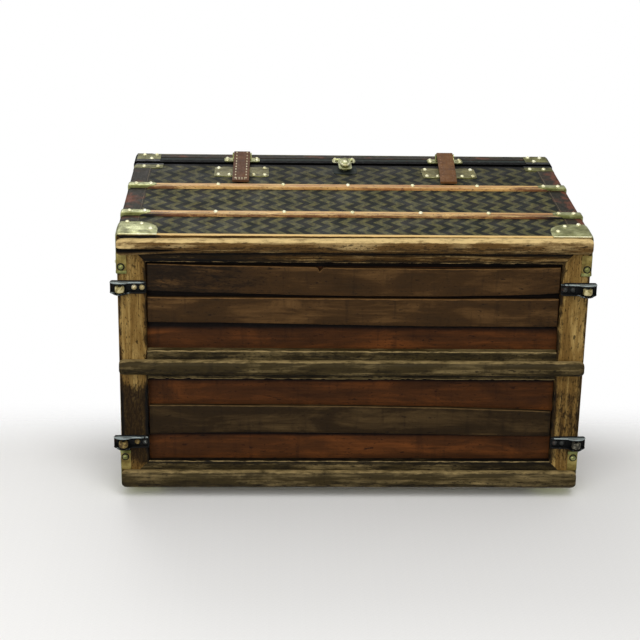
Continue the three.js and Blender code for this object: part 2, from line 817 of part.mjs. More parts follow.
function addHasp() {
  const plateBack = -halfDepth - lidEdgeFace - seat;
  const pinY = plateBack - haspPlate - haspBarrelRadius;
  const pinZ = lidBase + haspBarrelRadius + seat;
  const plate = grown(roundedRectangle(haspPlateWidth, haspPlateHeight, keeperCorner), haspPlate,
    frontBasis, 3);
  plate.translate(0, plateBack, lidBase + seat + haspPlateHeight / 2);
  const sideCentre = haspKnuckle + runningClearance;
  const fixed = [plate, haspBarrel(haspPinRadius, 3 * haspKnuckle, 0, pinY, pinZ)];
  for (const centre of [-sideCentre, sideCentre]) {
    fixed.push(haspBarrel(haspBarrelRadius, haspKnuckle, centre, pinY, pinZ));
    fixed.push(boxBetween(
      [centre - haspKnuckle / 2, pinY, pinZ],
      [centre + haspKnuckle / 2, plateBack - haspPlate / 2, pinZ + haspBarrelRadius]));
  }
  addPiece('hasp_plate', joined(...fixed), brass);

  const knuckle = haspKnuckle - runningClearance;
  const strapFace = pinY - haspBarrelRadius;
  const leafTop = pinZ - haspBarrelRadius - seat;
  const neck = boxBetween(
    [-knuckle / 2, strapFace, leafTop - hasp.thickness],
    [knuckle / 2, strapFace + hasp.thickness, pinZ]);
  const leafHeight = hasp.drop;
  const leaf = grown(roundedRectangle(hasp.width, leafHeight, hasp.width / 3), hasp.thickness,
    frontBasis, 4);
  leaf.translate(0, strapFace + hasp.thickness, leafTop - leafHeight / 2);
  const bossBack = -halfDepth - seat - haspPlate - seat;
  const bossZ = leafTop - leafHeight / 2;
  const bossDepth = bossBack - (strapFace - hasp.bossProud);
  const boss = grown(ovalShape(hasp.bossWidth, hasp.bossHeight), bossDepth, frontBasis, 10,
    hasp.bossProud / 4);
  boss.translate(0, bossBack, bossZ);
  const barrel = haspBarrel(haspBarrelRadius, knuckle, 0, pinY, pinZ);
  const bore = haspBarrel(haspPinRadius + runningClearance, 2 * haspKnuckle, 0, pinY, pinZ);
  addPiece('hasp', cut(joined(barrel, neck, leaf, boss), bore), brass);

  const lock = grown(roundedRectangle(haspPlateWidth, lockPlateHeight, keeperCorner), haspPlate,
    frontBasis, 3);
  lock.translate(0, -halfDepth - seat, rimHeight - lockPlateDrop - lockPlateHeight / 2);
  addPiece('lock_plate', lock, brass);
}

// End handles: a stitched leather grip between two eyes that turn on pins in brass loops
function handleGeometry() {
  const half = handleSpan / 2;
  const bend = handleCornerRadius;
  const path = new THREE.CurvePath();
  const at = (y, z) => new THREE.Vector3(0, y, z);
  path.add(new THREE.LineCurve3(at(-half, 0), at(-half, -handleDrop + bend)));
  path.add(new THREE.QuadraticBezierCurve3(
    at(-half, -handleDrop + bend), at(-half, -handleDrop), at(-half + bend, -handleDrop)));
  path.add(new THREE.LineCurve3(at(-half + bend, -handleDrop), at(half - bend, -handleDrop)));
  path.add(new THREE.QuadraticBezierCurve3(
    at(half - bend, -handleDrop), at(half, -handleDrop), at(half, -handleDrop + bend)));
  path.add(new THREE.LineCurve3(at(half, -handleDrop + bend), at(half, 0)));
  const points = path.getSpacedPoints(28);
  const route = new THREE.CatmullRomCurve3(points, false, 'centripetal');
  const section = new THREE.Shape();
  section.absellipse(0, 0, handleGripThickness / 2, handleEyeLength / 2, 0, 2 * Math.PI, false);
  const grip = new THREE.ExtrudeGeometry(section, {
    steps: 28, curveSegments: 5, bevelEnabled: false, extrudePath: route,
  });
  const parts = [grip];
  const bores = [];
  for (const side of [-1, 1]) {
    const eye = new THREE.CylinderGeometry(handleEyeRadius, handleEyeRadius, handleEyeLength, 20);
    eye.translate(0, side * half, 0);
    parts.push(eye);
    const radius = loopPinRadius + runningClearance;
    const bore = new THREE.CylinderGeometry(radius, radius, handleEyeLength + overrun, 16);
    bore.translate(0, side * half, 0);
    bores.push(bore);
  }
  return cut(joined(...parts), ...bores);
}

function handleLoop() {
  const plateBack = halfWidth + seat;
  const pinX = halfWidth + handleOut;
  const plate = grown(roundedRectangle(loopPlateWidth, loopPlateHeight, keeperCorner),
    loopPlateThickness, endBasis, 3);
  plate.translate(plateBack, 0, 0);
  const ear = new THREE.Shape();
  ear.moveTo(plateBack + loopPlateThickness / 2, -2 * loopEarNose);
  ear.lineTo(pinX, -loopEarNose);
  ear.absarc(pinX, 0, loopEarNose, -Math.PI / 2, Math.PI / 2, false);
  ear.lineTo(plateBack + loopPlateThickness / 2, 2 * loopEarNose);
  const parts = [plate];
  const earStart = handleEyeLength / 2 + runningClearance;
  for (const start of [-earStart, earStart + loopEarThickness]) {
    const wing = grown(ear, loopEarThickness, frontBasis, 4);
    wing.translate(0, start, 0);
    parts.push(wing);
  }
  const length = 2 * (earStart + loopEarThickness);
  const pin = new THREE.CylinderGeometry(loopPinRadius, loopPinRadius, length, 16);
  pin.translate(pinX, 0, 0);
  parts.push(pin);
  return joined(...parts);
}

function addHandles() {
  const loop = handleLoop();
  const handle = handleGeometry();
  for (const [name, side] of [['left', -1], ['right', 1]]) {
    const grip = addPiece(`handle_${name}`, handle.clone(), leather);
    grip.position.set(side * (halfWidth + handleOut), 0, handleHeight);
    for (const [end, way] of [['front', -1], ['back', 1]]) {
      const place = addPiece(`handle_loop_${name}_${end}`, mirrored(loop, side, 1), brass);
      place.position.set(0, way * handleSpan / 2, handleHeight);
    }
  }
}

addBody();
addBodyRim();
addFrame();
addRunners();
addBoards();
addSlats();
addCornerIrons();
addCastors();
addLid();
addLidEdge();
addHinges();
addStraps();
addHasp();
addHandles();

// The origin is the middle of the footprint: the front straps and the back hinges reach out
// by unlike amounts, so the whole trunk moves by half the difference
const reach = new THREE.Box3().setFromObject(trunk);
trunk.position.y = -(reach.min.y + reach.max.y) / 2;

export default trunk;
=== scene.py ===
"""Dome top trunk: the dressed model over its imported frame, laid out as a Blender add-on.

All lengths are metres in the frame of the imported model: +Z up, the hasp towards -Y.
"""
import json
import math

import bmesh
import bpy
import numpy as np
from bpy.props import FloatProperty, FloatVectorProperty, PointerProperty
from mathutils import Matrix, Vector

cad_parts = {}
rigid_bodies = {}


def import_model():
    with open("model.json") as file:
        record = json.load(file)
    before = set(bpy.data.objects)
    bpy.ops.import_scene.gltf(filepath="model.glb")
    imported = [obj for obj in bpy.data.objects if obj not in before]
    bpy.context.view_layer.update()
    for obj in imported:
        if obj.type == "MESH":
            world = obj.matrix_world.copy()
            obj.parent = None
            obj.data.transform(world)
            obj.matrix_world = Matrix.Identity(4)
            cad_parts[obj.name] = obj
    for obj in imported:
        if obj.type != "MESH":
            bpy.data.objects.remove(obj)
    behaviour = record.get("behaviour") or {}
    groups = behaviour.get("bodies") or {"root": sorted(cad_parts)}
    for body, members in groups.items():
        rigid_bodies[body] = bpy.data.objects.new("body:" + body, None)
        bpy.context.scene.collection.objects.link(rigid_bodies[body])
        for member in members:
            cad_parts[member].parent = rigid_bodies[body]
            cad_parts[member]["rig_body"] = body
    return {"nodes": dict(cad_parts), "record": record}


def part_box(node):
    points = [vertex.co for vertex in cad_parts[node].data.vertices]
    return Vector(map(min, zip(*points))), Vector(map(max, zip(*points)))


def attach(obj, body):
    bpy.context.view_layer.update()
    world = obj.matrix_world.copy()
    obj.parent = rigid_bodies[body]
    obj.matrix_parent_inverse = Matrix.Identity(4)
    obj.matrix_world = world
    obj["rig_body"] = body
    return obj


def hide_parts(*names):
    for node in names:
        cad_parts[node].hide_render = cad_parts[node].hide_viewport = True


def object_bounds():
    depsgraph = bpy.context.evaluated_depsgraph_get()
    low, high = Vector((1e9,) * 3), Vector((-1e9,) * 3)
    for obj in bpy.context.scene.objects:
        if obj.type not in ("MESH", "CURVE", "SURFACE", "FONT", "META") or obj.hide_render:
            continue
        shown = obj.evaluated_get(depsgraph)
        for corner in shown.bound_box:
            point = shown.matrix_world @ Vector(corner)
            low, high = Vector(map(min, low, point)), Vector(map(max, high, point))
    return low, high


bl_info = {
    "name": "Dome top trunk",
    "version": (1, 0, 0),
    "blender": (4, 5, 0),
    "location": "View3D > Sidebar > Trunk",
    "description": "Dresses the packed dome top trunk with its canvas, beech, brass and leather",
    "category": "Object",
}

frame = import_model()
packed_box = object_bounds()

# The way along X of each side, and along Y of each end.
SIDES = {"left": -1.0, "right": 1.0}
ENDS = {"front": -1.0, "back": 1.0}
CORNERS = [(end, side) for end in ENDS for side in SIDES]
MM = 0.001


def box(node):
    """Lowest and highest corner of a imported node, as two arrays."""
    return tuple(np.array(corner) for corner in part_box(node))


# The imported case: its middle in y, half its width and depth, its rim, floor and lid.
BODY_LOW, BODY_HIGH = box("body_carcass")
MID_Y = (BODY_LOW[1] + BODY_HIGH[1]) / 2
HALF_X = BODY_HIGH[0]
HALF_Y = BODY_HIGH[1] - MID_Y
RIM_Z = BODY_HIGH[2]
FLOOR_Z = BODY_LOW[2]
LID_LOW, LID_HIGH = box("lid_shell")
BAND_TOP = LID_LOW[2] + 60.2 * MM
DOME_RISE = LID_HIGH[2] - BAND_TOP
# Sizes of what this script makes: laps over the frame, slats, corners, seams, nails, clamps.
CANVAS_LAP = 8 * MM
IRON_LAP = 18 * MM
SLAT_WIDTH = 24 * MM
SLAT_DEPTH = 6 * MM
CASE_RADIUS = 5 * MM
IRON_RADIUS = 5.3 * MM
HANDLE_Z = 262 * MM
SEAM_INSET = 3 * MM
PLATE_EASE = 0.45 * MM
NAIL_PITCH = 126 * MM
NAIL_HEIGHT = 3.6 * MM
END_NAIL_HEIGHT = 2.6 * MM
CLAMP_LENGTH = 54 * MM
CLAMP_THICK = 0.9 * MM
CLAMP_NAILS = (15 * MM, 43 * MM)

# Directions of the frame, and the case's middle on the floor.
UP = np.array([0, 0, 1.0])
RIGHT = np.array([1.0, 0, 0])
BACK = np.array([0, 1.0, 0])
MIDDLE = MID_Y * BACK
# The four walls: a place on the wall, its direction along and its outward way.
WALLS = {
    "front": (MIDDLE - HALF_Y * BACK, RIGHT, -BACK),
    "back": (MIDDLE + HALF_Y * BACK, -RIGHT, BACK),
    "left": (MIDDLE - HALF_X * RIGHT, -BACK, -RIGHT),
    "right": (MIDDLE + HALF_X * RIGHT, BACK, RIGHT),
}


# Surfaces


def unit(vectors):
    """Vectors scaled to length one."""
    return vectors / np.linalg.norm(vectors, axis=-1, keepdims=True)


def smooth(share):
    """The cubic 3 s^2 - 2 s^3 between nought and one, held level outside them."""
    share = np.clip(share, 0, 1)
    return share * share * (3 - 2 * share)


def eased_edge(distance, reach):
    """One at an edge, falling smoothly to nought at the reach away from it."""
    return smooth(1 - distance / reach)


def at_x(x, section):
    """A section of y and z points stood at one x."""
    return np.concatenate([np.full((len(section), 1), x), section], 1)


def running(points, along):
    """Map of a grid: the running length down its rows and across its columns."""
    points = np.concatenate([points, points[:, :1]], 1)
    if along:
        points = np.concatenate([points, points[:1]], 0)
    down = np.linalg.norm(np.diff(points, axis=0), axis=2).mean(1)
    across = np.linalg.norm(np.diff(points, axis=1), axis=2).max(0)
    u = np.concatenate([[0], np.cumsum(down)])
    v = np.concatenate([[0], np.cumsum(across)])
    return np.stack(np.broadcast_arrays(u[:, None], v[None, :]), -1)


def ripple(points, size, seed=0):
    """Smooth waviness from about -1 to 1: the mean of sines along eight seeded directions."""
    numbers = np.random.default_rng(seed)
    ways = unit(numbers.normal(size=(8, 3)))
    pace = 2 * np.pi / size * numbers.uniform(0.6, 1.6, 8)
    start = numbers.uniform(0, 2 * np.pi, 8)
    return np.sin(points @ (ways.T * pace) + start).mean(-1) * 1.8


class Skin:
    """Grids of points gathered into one mesh, with a map in metres, a wear mark and a mark of dirt
    and painted shade.
    """

    def __init__(self):
        self.points, self.quads, self.charts, self.kinds = [], [], [], []
        self.marks = {"wear": [], "soil_and_shade": []}
        self.count = 0

    def grid(self, points, chart=None, wear=0.0, soil_and_shade=0.0, along=False, kind=0, shift=(0, 0)):
        """Joins neighbours of a rows by columns grid, or of many like grids, into quads. The
        columns close on themselves, and with along the rows too. Kind is the finish's place."""
        points = points.reshape((-1,) + points.shape[-3:])
        copies, rows, columns = points.shape[:3]
        if chart is None:
            chart = running(points[0], along)
        number = np.arange(rows * columns).reshape(rows, columns)
        number = np.hstack([number, number[:, :1]])
        number = np.vstack([number, number[:1]]) if along else number
        near, far = slice(None, -1), slice(1, None)
        corners = [(near, near), (far, near), (far, far), (near, far)]
        quads = np.stack([number[c] for c in corners], -1).reshape(-1, 4)
        chart = np.stack([chart[c] for c in corners], -2).reshape(-1, 2) + np.array(shift)
        first = self.count + np.arange(copies) * rows * columns
        self.points.append(points.reshape(-1, 3))
        self.quads.append((first[:, None, None] + quads).reshape(-1, 4))
        self.charts.append(np.tile(chart, (copies, 1)))
        for name, mark in (("wear", wear), ("soil_and_shade", soil_and_shade)):
            self.marks[name].append(np.broadcast_to(mark, (copies, rows, columns)).reshape(-1))
        self.kinds.append(np.full(copies * len(quads), kind))
        self.count += copies * rows * columns
        return self

    def piece(self, name, body, slot, *finishes, replaces=()):
        """The gathered grids as one object: poles closed, faces outwards, edges kept crisp."""
        mesh = bpy.data.meshes.new(name)
        mesh.from_pydata(np.concatenate(self.points).tolist(), [],
                         np.concatenate(self.quads).tolist())
        charts = mesh.uv_layers.new(name="Map")
        charts.data.foreach_set("uv", np.concatenate(self.charts).astype(np.float32).ravel())
        for key, mark in self.marks.items():
            layer = mesh.attributes.new(key, "FLOAT", "POINT")
            layer.data.foreach_set("value", np.concatenate(mark).astype(np.float32))
        mesh.polygons.foreach_set("material_index", np.concatenate(self.kinds).astype(np.int32))
        closed = bmesh.new()
        closed.from_mesh(mesh)
        bmesh.ops.remove_doubles(closed, verts=closed.verts, dist=2e-7)
        bmesh.ops.recalc_face_normals(closed, faces=closed.faces)
        closed.to_mesh(mesh)
        closed.free()
        return placed(name, mesh, body, finishes, replaces, 38)


def placed(name, mesh, body, finishes, replaces, angle):
    """Links a mesh as a piece that rides on a body and takes its finishes. Edges that turn by
    more than the angle, in degrees, stay sharp."""
    for finish in finishes:
        mesh.materials.append(finish)
    mesh.shade_smooth()
    mesh.set_sharp_from_angle(angle=math.radians(angle))
    item = bpy.data.objects.new(name, mesh)
    bpy.context.scene.collection.objects.link(item)
    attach(item, body)
    if replaces:
        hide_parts(*replaces)
    return item


def circle(count):
    """Points spaced evenly round a circle of radius one: cos t and sin t."""
    turn = np.arange(count) * 2 * np.pi / count
    return np.stack([np.cos(turn), np.sin(turn)], -1)


def lengthwise(stations, y, z):
    """A spine along X through stations, its y and z one number or one for each station."""
    return np.stack(np.broadcast_arrays(stations, y, z), -1)


def rounded(width, height, radius, steps=4):
    """Outline of a rectangle with round corners: four quarter circles in turn."""
    turn = np.linspace(0, np.pi / 2, steps + 1)
    parts = []
    for number, (x, y) in enumerate([(1, -1), (1, 1), (-1, 1), (-1, -1)]):
        angle = turn + (number - 1) * np.pi / 2
        middle = np.array([x * (width / 2 - radius), y * (height / 2 - radius)])
        parts.append(middle + radius * np.stack([np.cos(angle), np.sin(angle)], -1))
    return np.concatenate(parts)


def dense(outline, step):
    """A closed outline with points added until no side is longer than the step."""
    sides = np.roll(outline, -1, 0) - outline
    count = np.maximum(1, np.ceil(np.linalg.norm(sides, axis=1) / step)).astype(int)
    index = np.repeat(np.arange(len(outline)), count)
    share = (np.arange(count.sum()) - np.repeat(np.cumsum(count) - count, count)) / count[index]
    return outline[index] + sides[index] * share[:, None]


def capped(grid):
    """A grid with its first and last row repeated, each drawn together to its middle."""
    first = np.broadcast_to(grid[:1].mean(1, keepdims=True), grid[:1].shape)
    last = np.broadcast_to(grid[-1:].mean(1, keepdims=True), grid[:1].shape)
    return np.concatenate([first, grid, last])


def sweep(skin, spine, side, lift, section, wear=0.0, soil_and_shade=0.0, kind=0, shift=(0, 0),
          grade=None):
    """A closed section carried along a spine: spine + x side + y lift, both ends shut."""
    spine = np.asarray(spine, float)
    side = np.broadcast_to(side, spine.shape)[:, None]
    lift = np.broadcast_to(lift, spine.shape)[:, None]
    section = np.broadcast_to(section, (len(spine),) + np.shape(section)[-2:])
    points = spine[:, None] + side * section[..., :1] + lift * section[..., 1:]
    if grade is not None:
        points = grade(points)
    wear, soil_and_shade = (np.broadcast_to(mark, points.shape[:2]) for mark in (wear, soil_and_shade))
    return skin.grid(capped(points), wear=capped(wear), soil_and_shade=capped(soil_and_shade), kind=kind,
                     shift=shift)


def plate(skin, outline, place, rings):
    """A front facing outline of x and z shrunk to its middle: rings of share and height."""
    middle = outline.mean(0)
    rows = []
    for share, height in [(0, rings[0][1]), *rings, (0, rings[-1][1])]:
        x, z = (middle + (outline - middle) * share).T
        rows.append(place + np.stack([x, 0 * x - height, z], -1))
    return skin.grid(np.array(rows))


def turned(skin, place, way, profile, sides=24, kind=0):
    """A profile of radius and height turned about an axis through a place."""
    place, way = np.asarray(place, float), unit(np.asarray(way, float))
    side = unit(np.cross(way, UP if abs(way[2]) < 0.9 else RIGHT))
    ring = circle(sides) @ np.stack([side, np.cross(way, side)])
    profile = np.asarray(profile, float)
    points = place + profile[:, :1, None] * ring + profile[:, 1:, None] * way
    return skin.grid(points, kind=kind)


def studs(skin, places, way, radius, height=NAIL_HEIGHT, kind=0, sides=12, rounds=4):
    """Round nail heads: rings of radius r cos t lifted by h sin t over a quarter turn."""
    tilt = np.linspace(0, np.pi / 2, rounds)
    profile = [(0, -0.2 * height), (radius, -0.2 * height)]
    profile += [(radius * math.cos(t), height * math.sin(t)) for t in tilt[:-1]]
    profile += [(0, height)]
    for place in np.atleast_2d(places):
        turned(skin, place, way, profile, sides, kind)
    return skin


def stitches(skin, path, way, pitch, size=(4.2 * MM, 0.8 * MM, 0.55 * MM)):
    """Thread along a path: every pitch one capsule, sqrt(1 - s^2) thick along its length. Way
    is the outward way, size a stitch's length, width and height, and its finish the second."""
    path = np.asarray(path, float)
    steps = np.linalg.norm(np.diff(path, axis=0), axis=1)
    length = np.concatenate([[0], np.cumsum(steps)])
    middles = np.arange(pitch / 2, length[-1], pitch)
    place = np.stack([np.interp(middles, length, path[:, axis]) for axis in range(3)], -1)
    index = np.clip(np.searchsorted(length, middles) - 1, 0, len(steps) - 1)
    along = unit(np.diff(path, axis=0))[index]
    side = unit(np.cross(along, np.broadcast_to(way, path.shape)[index]))
    up = np.cross(side, along)
    share = np.array([-1, -0.85, -0.4, 0.4, 0.85, 1])
    fat = np.sqrt(np.clip(1 - share**2, 0, 1))
    across, height = circle(6).T
    shape = np.stack(np.broadcast_arrays(
        share[:, None] * size[0] / 2,
        fat[:, None] * across * size[1] / 2,
        fat[:, None] * height * size[2]), -1)
    points = place[:, None, None] + np.einsum("rck,nkx->nrcx", shape,
                                              np.stack([along, side, up], 1))
    return skin.grid(points, kind=1)


def slot_of(node):
    """The material slot that the part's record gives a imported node."""
    return next(part["material_slot"] for part in frame["record"]["subparts"]
                if part["node"] == node)


def eased(node, name, finishes, width=0.5 * MM, choose=None, edge_finish=None):
    """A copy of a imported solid, its corners merged, with small rounded edges."""
    source = frame["nodes"][node]
    mesh = source.data.copy()
    mesh.materials.clear()
    copy = bmesh.new()
    copy.from_mesh(mesh)
    bmesh.ops.remove_doubles(copy, verts=copy.verts, dist=2e-6)
    bmesh.ops.dissolve_limit(copy, angle_limit=math.radians(1), verts=copy.verts,
                             edges=copy.edges)
    if choose is not None:
        for face in copy.faces:
            face.material_index = choose(face.calc_center_median())
    copy.to_mesh(mesh)
    copy.free()
    item = placed(name, mesh, source["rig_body"], finishes, (node,), 40)
    bevel = item.modifiers.new("Eased edges", "BEVEL")
    bevel.width = width
    bevel.segments = 2
    bevel.limit_method = "ANGLE"
    bevel.angle_limit = math.radians(35)
    bevel.harden_normals = True
    if edge_finish is not None:
        bevel.material = edge_finish
    return item


# Finishes

# Waves of the canvas's and the linen's threads, in radians a metre.
WEAVE, LINEN_WEAVE = 4600.0, 5200.0


def tint(red, green, blue):
    """A colour given in display bytes, as the linear colour that nodes take."""
    share = np.array([red, green, blue]) / 255
    linear = np.where(share <= 0.04045, share / 12.92, ((share + 0.055) / 1.055) ** 2.4)
    return (*linear.tolist(), 1.0)


class Finish:
    """A material mixed from nodes on the piece's map or on object coordinates."""

    def __init__(self, name, mapped=True):
        self.material = bpy.data.materials.new(name)
        self.material.use_nodes = True
        self.nodes = self.material.node_tree.nodes
        self.links = self.material.node_tree.links
        self.shader = self.nodes["Principled BSDF"]
        coordinates = self.nodes.new("ShaderNodeTexCoord")
        self.place = coordinates.outputs["UV" if mapped else "Object"]

    def add(self, kind, inputs, **settings):
        """One node with its settings, each input linked from a socket or set to a value."""
        node = self.nodes.new(kind)
        for key, value in settings.items():
            setattr(node, key, value)
        for key, value in inputs.items():
            if isinstance(value, bpy.types.NodeSocket):
                self.links.new(value, node.inputs[key])
            else:
                node.inputs[key].default_value = value
        return node

    def stretched(self, scale, shift=(0, 0, 0)):
        """The coordinates times one scale for each axis, then shifted."""
        return self.add("ShaderNodeMapping", {
            "Vector": self.place, "Scale": scale, "Location": shift}).outputs[0]

    def noise(self, scale, shift=(0, 0, 0), detail=4.0, roughness=0.55, bend=0.0):
        """Noise over the coordinates, one scale for each axis, in waves a metre."""
        return self.add("ShaderNodeTexNoise", {
            "Vector": self.stretched(scale, shift), "Scale": 1.0, "Detail": detail,
            "Roughness": roughness, "Distortion": bend}).outputs[0]

    def cells(self, scale, feature="F1"):
        """Distance within cells over the coordinates: from a middle, or to an edge."""
        return self.add("ShaderNodeTexVoronoi", {"Vector": self.stretched(scale), "Scale": 1.0},
                        feature=feature).outputs["Distance"]

    def math(self, operation, first, second=0.0):
        """Two values joined by one of the math node's operations."""
        return self.add("ShaderNodeMath", {0: first, 1: second, 2: 0.0},
                        operation=operation).outputs[0]

    def band(self, value, low, high, start=0.0, stop=1.0):
        """Value mapped from low..high to start..stop, smoothly and clamped."""
        return self.add("ShaderNodeMapRange", {
            "Value": value, "From Min": low, "From Max": high, "To Min": start,
            "To Max": stop}, interpolation_type="SMOOTHSTEP").outputs[0]

    def ramp(self, value, *stops):
        """Colours along a value, each stop a place and a colour in display bytes."""
        node = self.add("ShaderNodeValToRGB", {0: value})
        elements = node.color_ramp.elements
        while len(elements) < len(stops):
            elements.new(0.5)
        for element, (position, colour) in zip(elements, stops):
            element.position = position
            element.color = colour if len(colour) == 4 else tint(*colour)
        return node.outputs[0]

    def mix(self, amount, first, second):
        """One colour over another by an amount; a colour is a socket or display bytes."""
        first, second = (tint(*c) if isinstance(c, tuple) and len(c) == 3 else c
                         for c in (first, second))
        return self.add("ShaderNodeMix", {0: amount, 6: first, 7: second},
                        data_type="RGBA").outputs[2]

    def between(self, heights):
        """One between two object heights, fading over a millimetre at each."""
        low, high = heights
        z = self.parts()[2]
        return self.math("MULTIPLY", self.band(z, low - 1 * MM, low),
                         self.band(z, high, high + 1 * MM, 1.0, 0.0))

    def mark(self, name):
        """The piece's own wear, or its mark of dirt and painted shade, at a point."""
        return self.add("ShaderNodeAttribute", {}, attribute_name=name).outputs["Fac"]

    def parts(self):
        """The three coordinates one by one."""
        split = self.add("ShaderNodeSeparateXYZ", {0: self.place})
        return split.outputs[0], split.outputs[1], split.outputs[2]

    def bump(self, height, distance, strength, under=None):
        """Normal of a relief, a height times a distance, laid over another normal."""
        inputs = {"Height": height, "Distance": distance, "Strength": strength}
        if under is not None:
            inputs["Normal"] = under
        return self.add("ShaderNodeBump", inputs).outputs[0]

    def done(self, colour, roughness, normal=None, **sockets):
        """Joins the colour, roughness and bump to the shader and hands over the material."""
        sockets = {"Base Color": colour, "Roughness": roughness, **sockets}
        if normal is not None:
            sockets["Normal"] = normal
        for key, value in sockets.items():
            if isinstance(value, bpy.types.NodeSocket):
                self.links.new(value, self.shader.inputs[key])
            else:
                self.shader.inputs[key].default_value = value
        return self.material


def canvas_finish(look):
    """Coated canvas: a herringbone of two olive tones, rubbed brown, over a fine weave."""
    f = Finish("coated_canvas")
    u, v, _ = f.parts()
    width, pitch = look.herringbone_width, look.herringbone_pitch
    drift = f.math("MULTIPLY", f.math("SUBTRACT", f.noise((60, 60, 1), detail=3), 0.5), 0.003)
    slope = f.math("PINGPONG", f.math("ADD", u, drift), width)
    phase = f.math("DIVIDE", f.math("ADD", v, f.math("MULTIPLY", slope, 0.8)), pitch)
    figure = f.band(f.math("PINGPONG", phase, 0.5), 0.21, 0.29)
    light = f.mix(f.band(f.noise((30, 90, 1)), 0.35, 0.7), (*look.canvas_light, 1.0),
                  (78, 78, 56))
    dark = f.mix(f.band(f.noise((22, 22, 1), (3, 1, 0)), 0.4, 0.65), (*look.canvas_dark, 1.0),
                 (34, 33, 29))
    faded = f.band(f.noise((60, 110, 1), detail=6), 0.35, 0.62, 0.35, 1.0)
    colour = f.mix(f.math("MULTIPLY", figure, faded), dark, light)
    scuffed = f.band(f.noise((16, 30, 1), (7, 2, 0), detail=8, roughness=0.72), 0.58, 0.7)
    colour = f.mix(f.math("MULTIPLY", scuffed, 0.5), colour, (74, 62, 46))
    crease = f.band(f.cells((9, 5, 1), "DISTANCE_TO_EDGE"), 0.0, 0.015, 1.0, 0.0)
    colour = f.mix(f.math("MULTIPLY", crease, 0.3), colour, (20, 18, 16))
    weave = f.math("MULTIPLY", f.math("SINE", f.math("MULTIPLY", u, WEAVE)),
                   f.math("SINE", f.math("MULTIPLY", v, WEAVE)))
    normal = f.bump(f.math("ADD", weave, f.math("MULTIPLY", figure, 1.2)), 0.00012, 0.5)
    normal = f.bump(f.noise((45, 45, 1), detail=5), 0.0012, 0.4, normal)
    # The piece's mark darkens the canvas to near black: painted shade towards the rim and under the
    # lid.
    colour = f.mix(f.mark("soil_and_shade"), colour, (5, 4, 4))
    return f.done(colour, f.band(f.noise((18, 18, 1)), 0.3, 0.7, 0.55, 0.78), normal,
                  **{"Specular IOR Level": 0.08})


def wood_finish(name, pale, middle, deep, stain, stained=0.5, rubbed=0.6, gloss=(0.5, 0.72),
                mapped=True, relief=0.5, contrast=1.0, flecks=0.0, shades=(), cloudy=0.0,
                shine=0.1):
    """Wood: streaks along the first axis, a broad figure, soiled patches, rubbed edges."""
    f = Finish(name, mapped)
    # Fine streaks, a broad figure and soft clouds make the tone.
    grain = f.noise((7, 190, 190), detail=8, roughness=0.68, bend=0.4)
    figure = f.noise((2.4, 34, 34), (3, 5, 1), detail=5, bend=1.4)
    cloud = f.noise((8, 26, 26), (6, 2, 8), detail=7, roughness=0.66, bend=0.8)
    tone = f.math("ADD", f.math("MULTIPLY", grain, 0.5 - 0.4 * cloudy),
                  f.math("MULTIPLY", figure, 0.5 - 0.3 * cloudy))
    tone = f.math("ADD", tone, f.math("MULTIPLY", cloud, 0.7 * cloudy))
    reach = 0.12 / contrast
    colour = f.ramp(tone, (0.5 - reach, deep), (0.5, middle), (0.5 + reach, pale))
    # Stains lie in patches, and more where the piece is soiled.
    soil_and_shade = f.mark("soil_and_shade")
    patch = f.noise((16, 60, 60), (1, 8, 4), detail=9, roughness=0.78)
    level = f.math("ADD", patch, f.math("MULTIPLY", soil_and_shade, 0.22))
    edge = 0.68 - 0.2 * stained
    colour = f.mix(f.band(level, edge, edge + 0.2, 0.0, 0.86), colour, stain)
    # Two sizes of flecks.
    for scale, low in (((60, 150, 150), 0.63), ((150, 330, 330), 0.62)):
        fleck = f.math("ADD", f.noise(scale, (2, 2, 9), detail=4, roughness=0.6),
                       f.math("MULTIPLY", soil_and_shade, 0.07))
        low -= flecks
        colour = f.mix(f.band(fleck, low, low + 0.06, 0.0, 0.8), colour, stain)
    if cloudy:
        smudge = f.noise((70, 9, 9), (4, 4, 7), detail=5, roughness=0.6)
        colour = f.mix(f.band(smudge, 0.52, 0.72, 0.0, 0.55 * cloudy), colour, stain)
    # Past 1.6 the mark turns the wood near black: mostly painted shadow under runners, irons and
    # rails, also the runner's crack.
    shade_and_crack_black = f.band(soil_and_shade, 1.6, 2.4)
    colour = f.mix(shade_and_crack_black, colour, (10, 8, 6))
    # Edges are rubbed back to the pale wood in chips.
    chips = f.noise((34, 110, 110), (5, 3, 2), detail=8, roughness=0.75)
    rub = f.band(f.math("ADD", f.math("MULTIPLY", f.mark("wear"), 0.5), chips), 0.74, 1.0)
    colour = f.mix(f.math("MULTIPLY", rub, rubbed), colour, pale)
    # Painted shade that the boards and rails throw on the panel: black for a while, then fading.
    for start, black, fade in shades:
        past = f.math("GREATER_THAN", f.parts()[1], start)
        fall = f.band(f.parts()[1], start + black, start + black + fade, 0.97, 0.0)
        colour = f.mix(f.math("MULTIPLY", past, fall), colour, (6, 4, 3))
    normal = f.bump(grain, 0.0012, relief)
    normal = f.bump(patch, 0.0026, 0.7 * relief, normal)
    scratch = f.band(f.noise((40, 700, 700), (9, 1, 3), detail=2), 0.62, 0.68)
    normal = f.bump(scratch, -0.0005, 0.5 * relief, normal)
    return f.done(colour, f.band(patch, 0.35, 0.7, *gloss), normal,
                  **{"Specular IOR Level": shine})


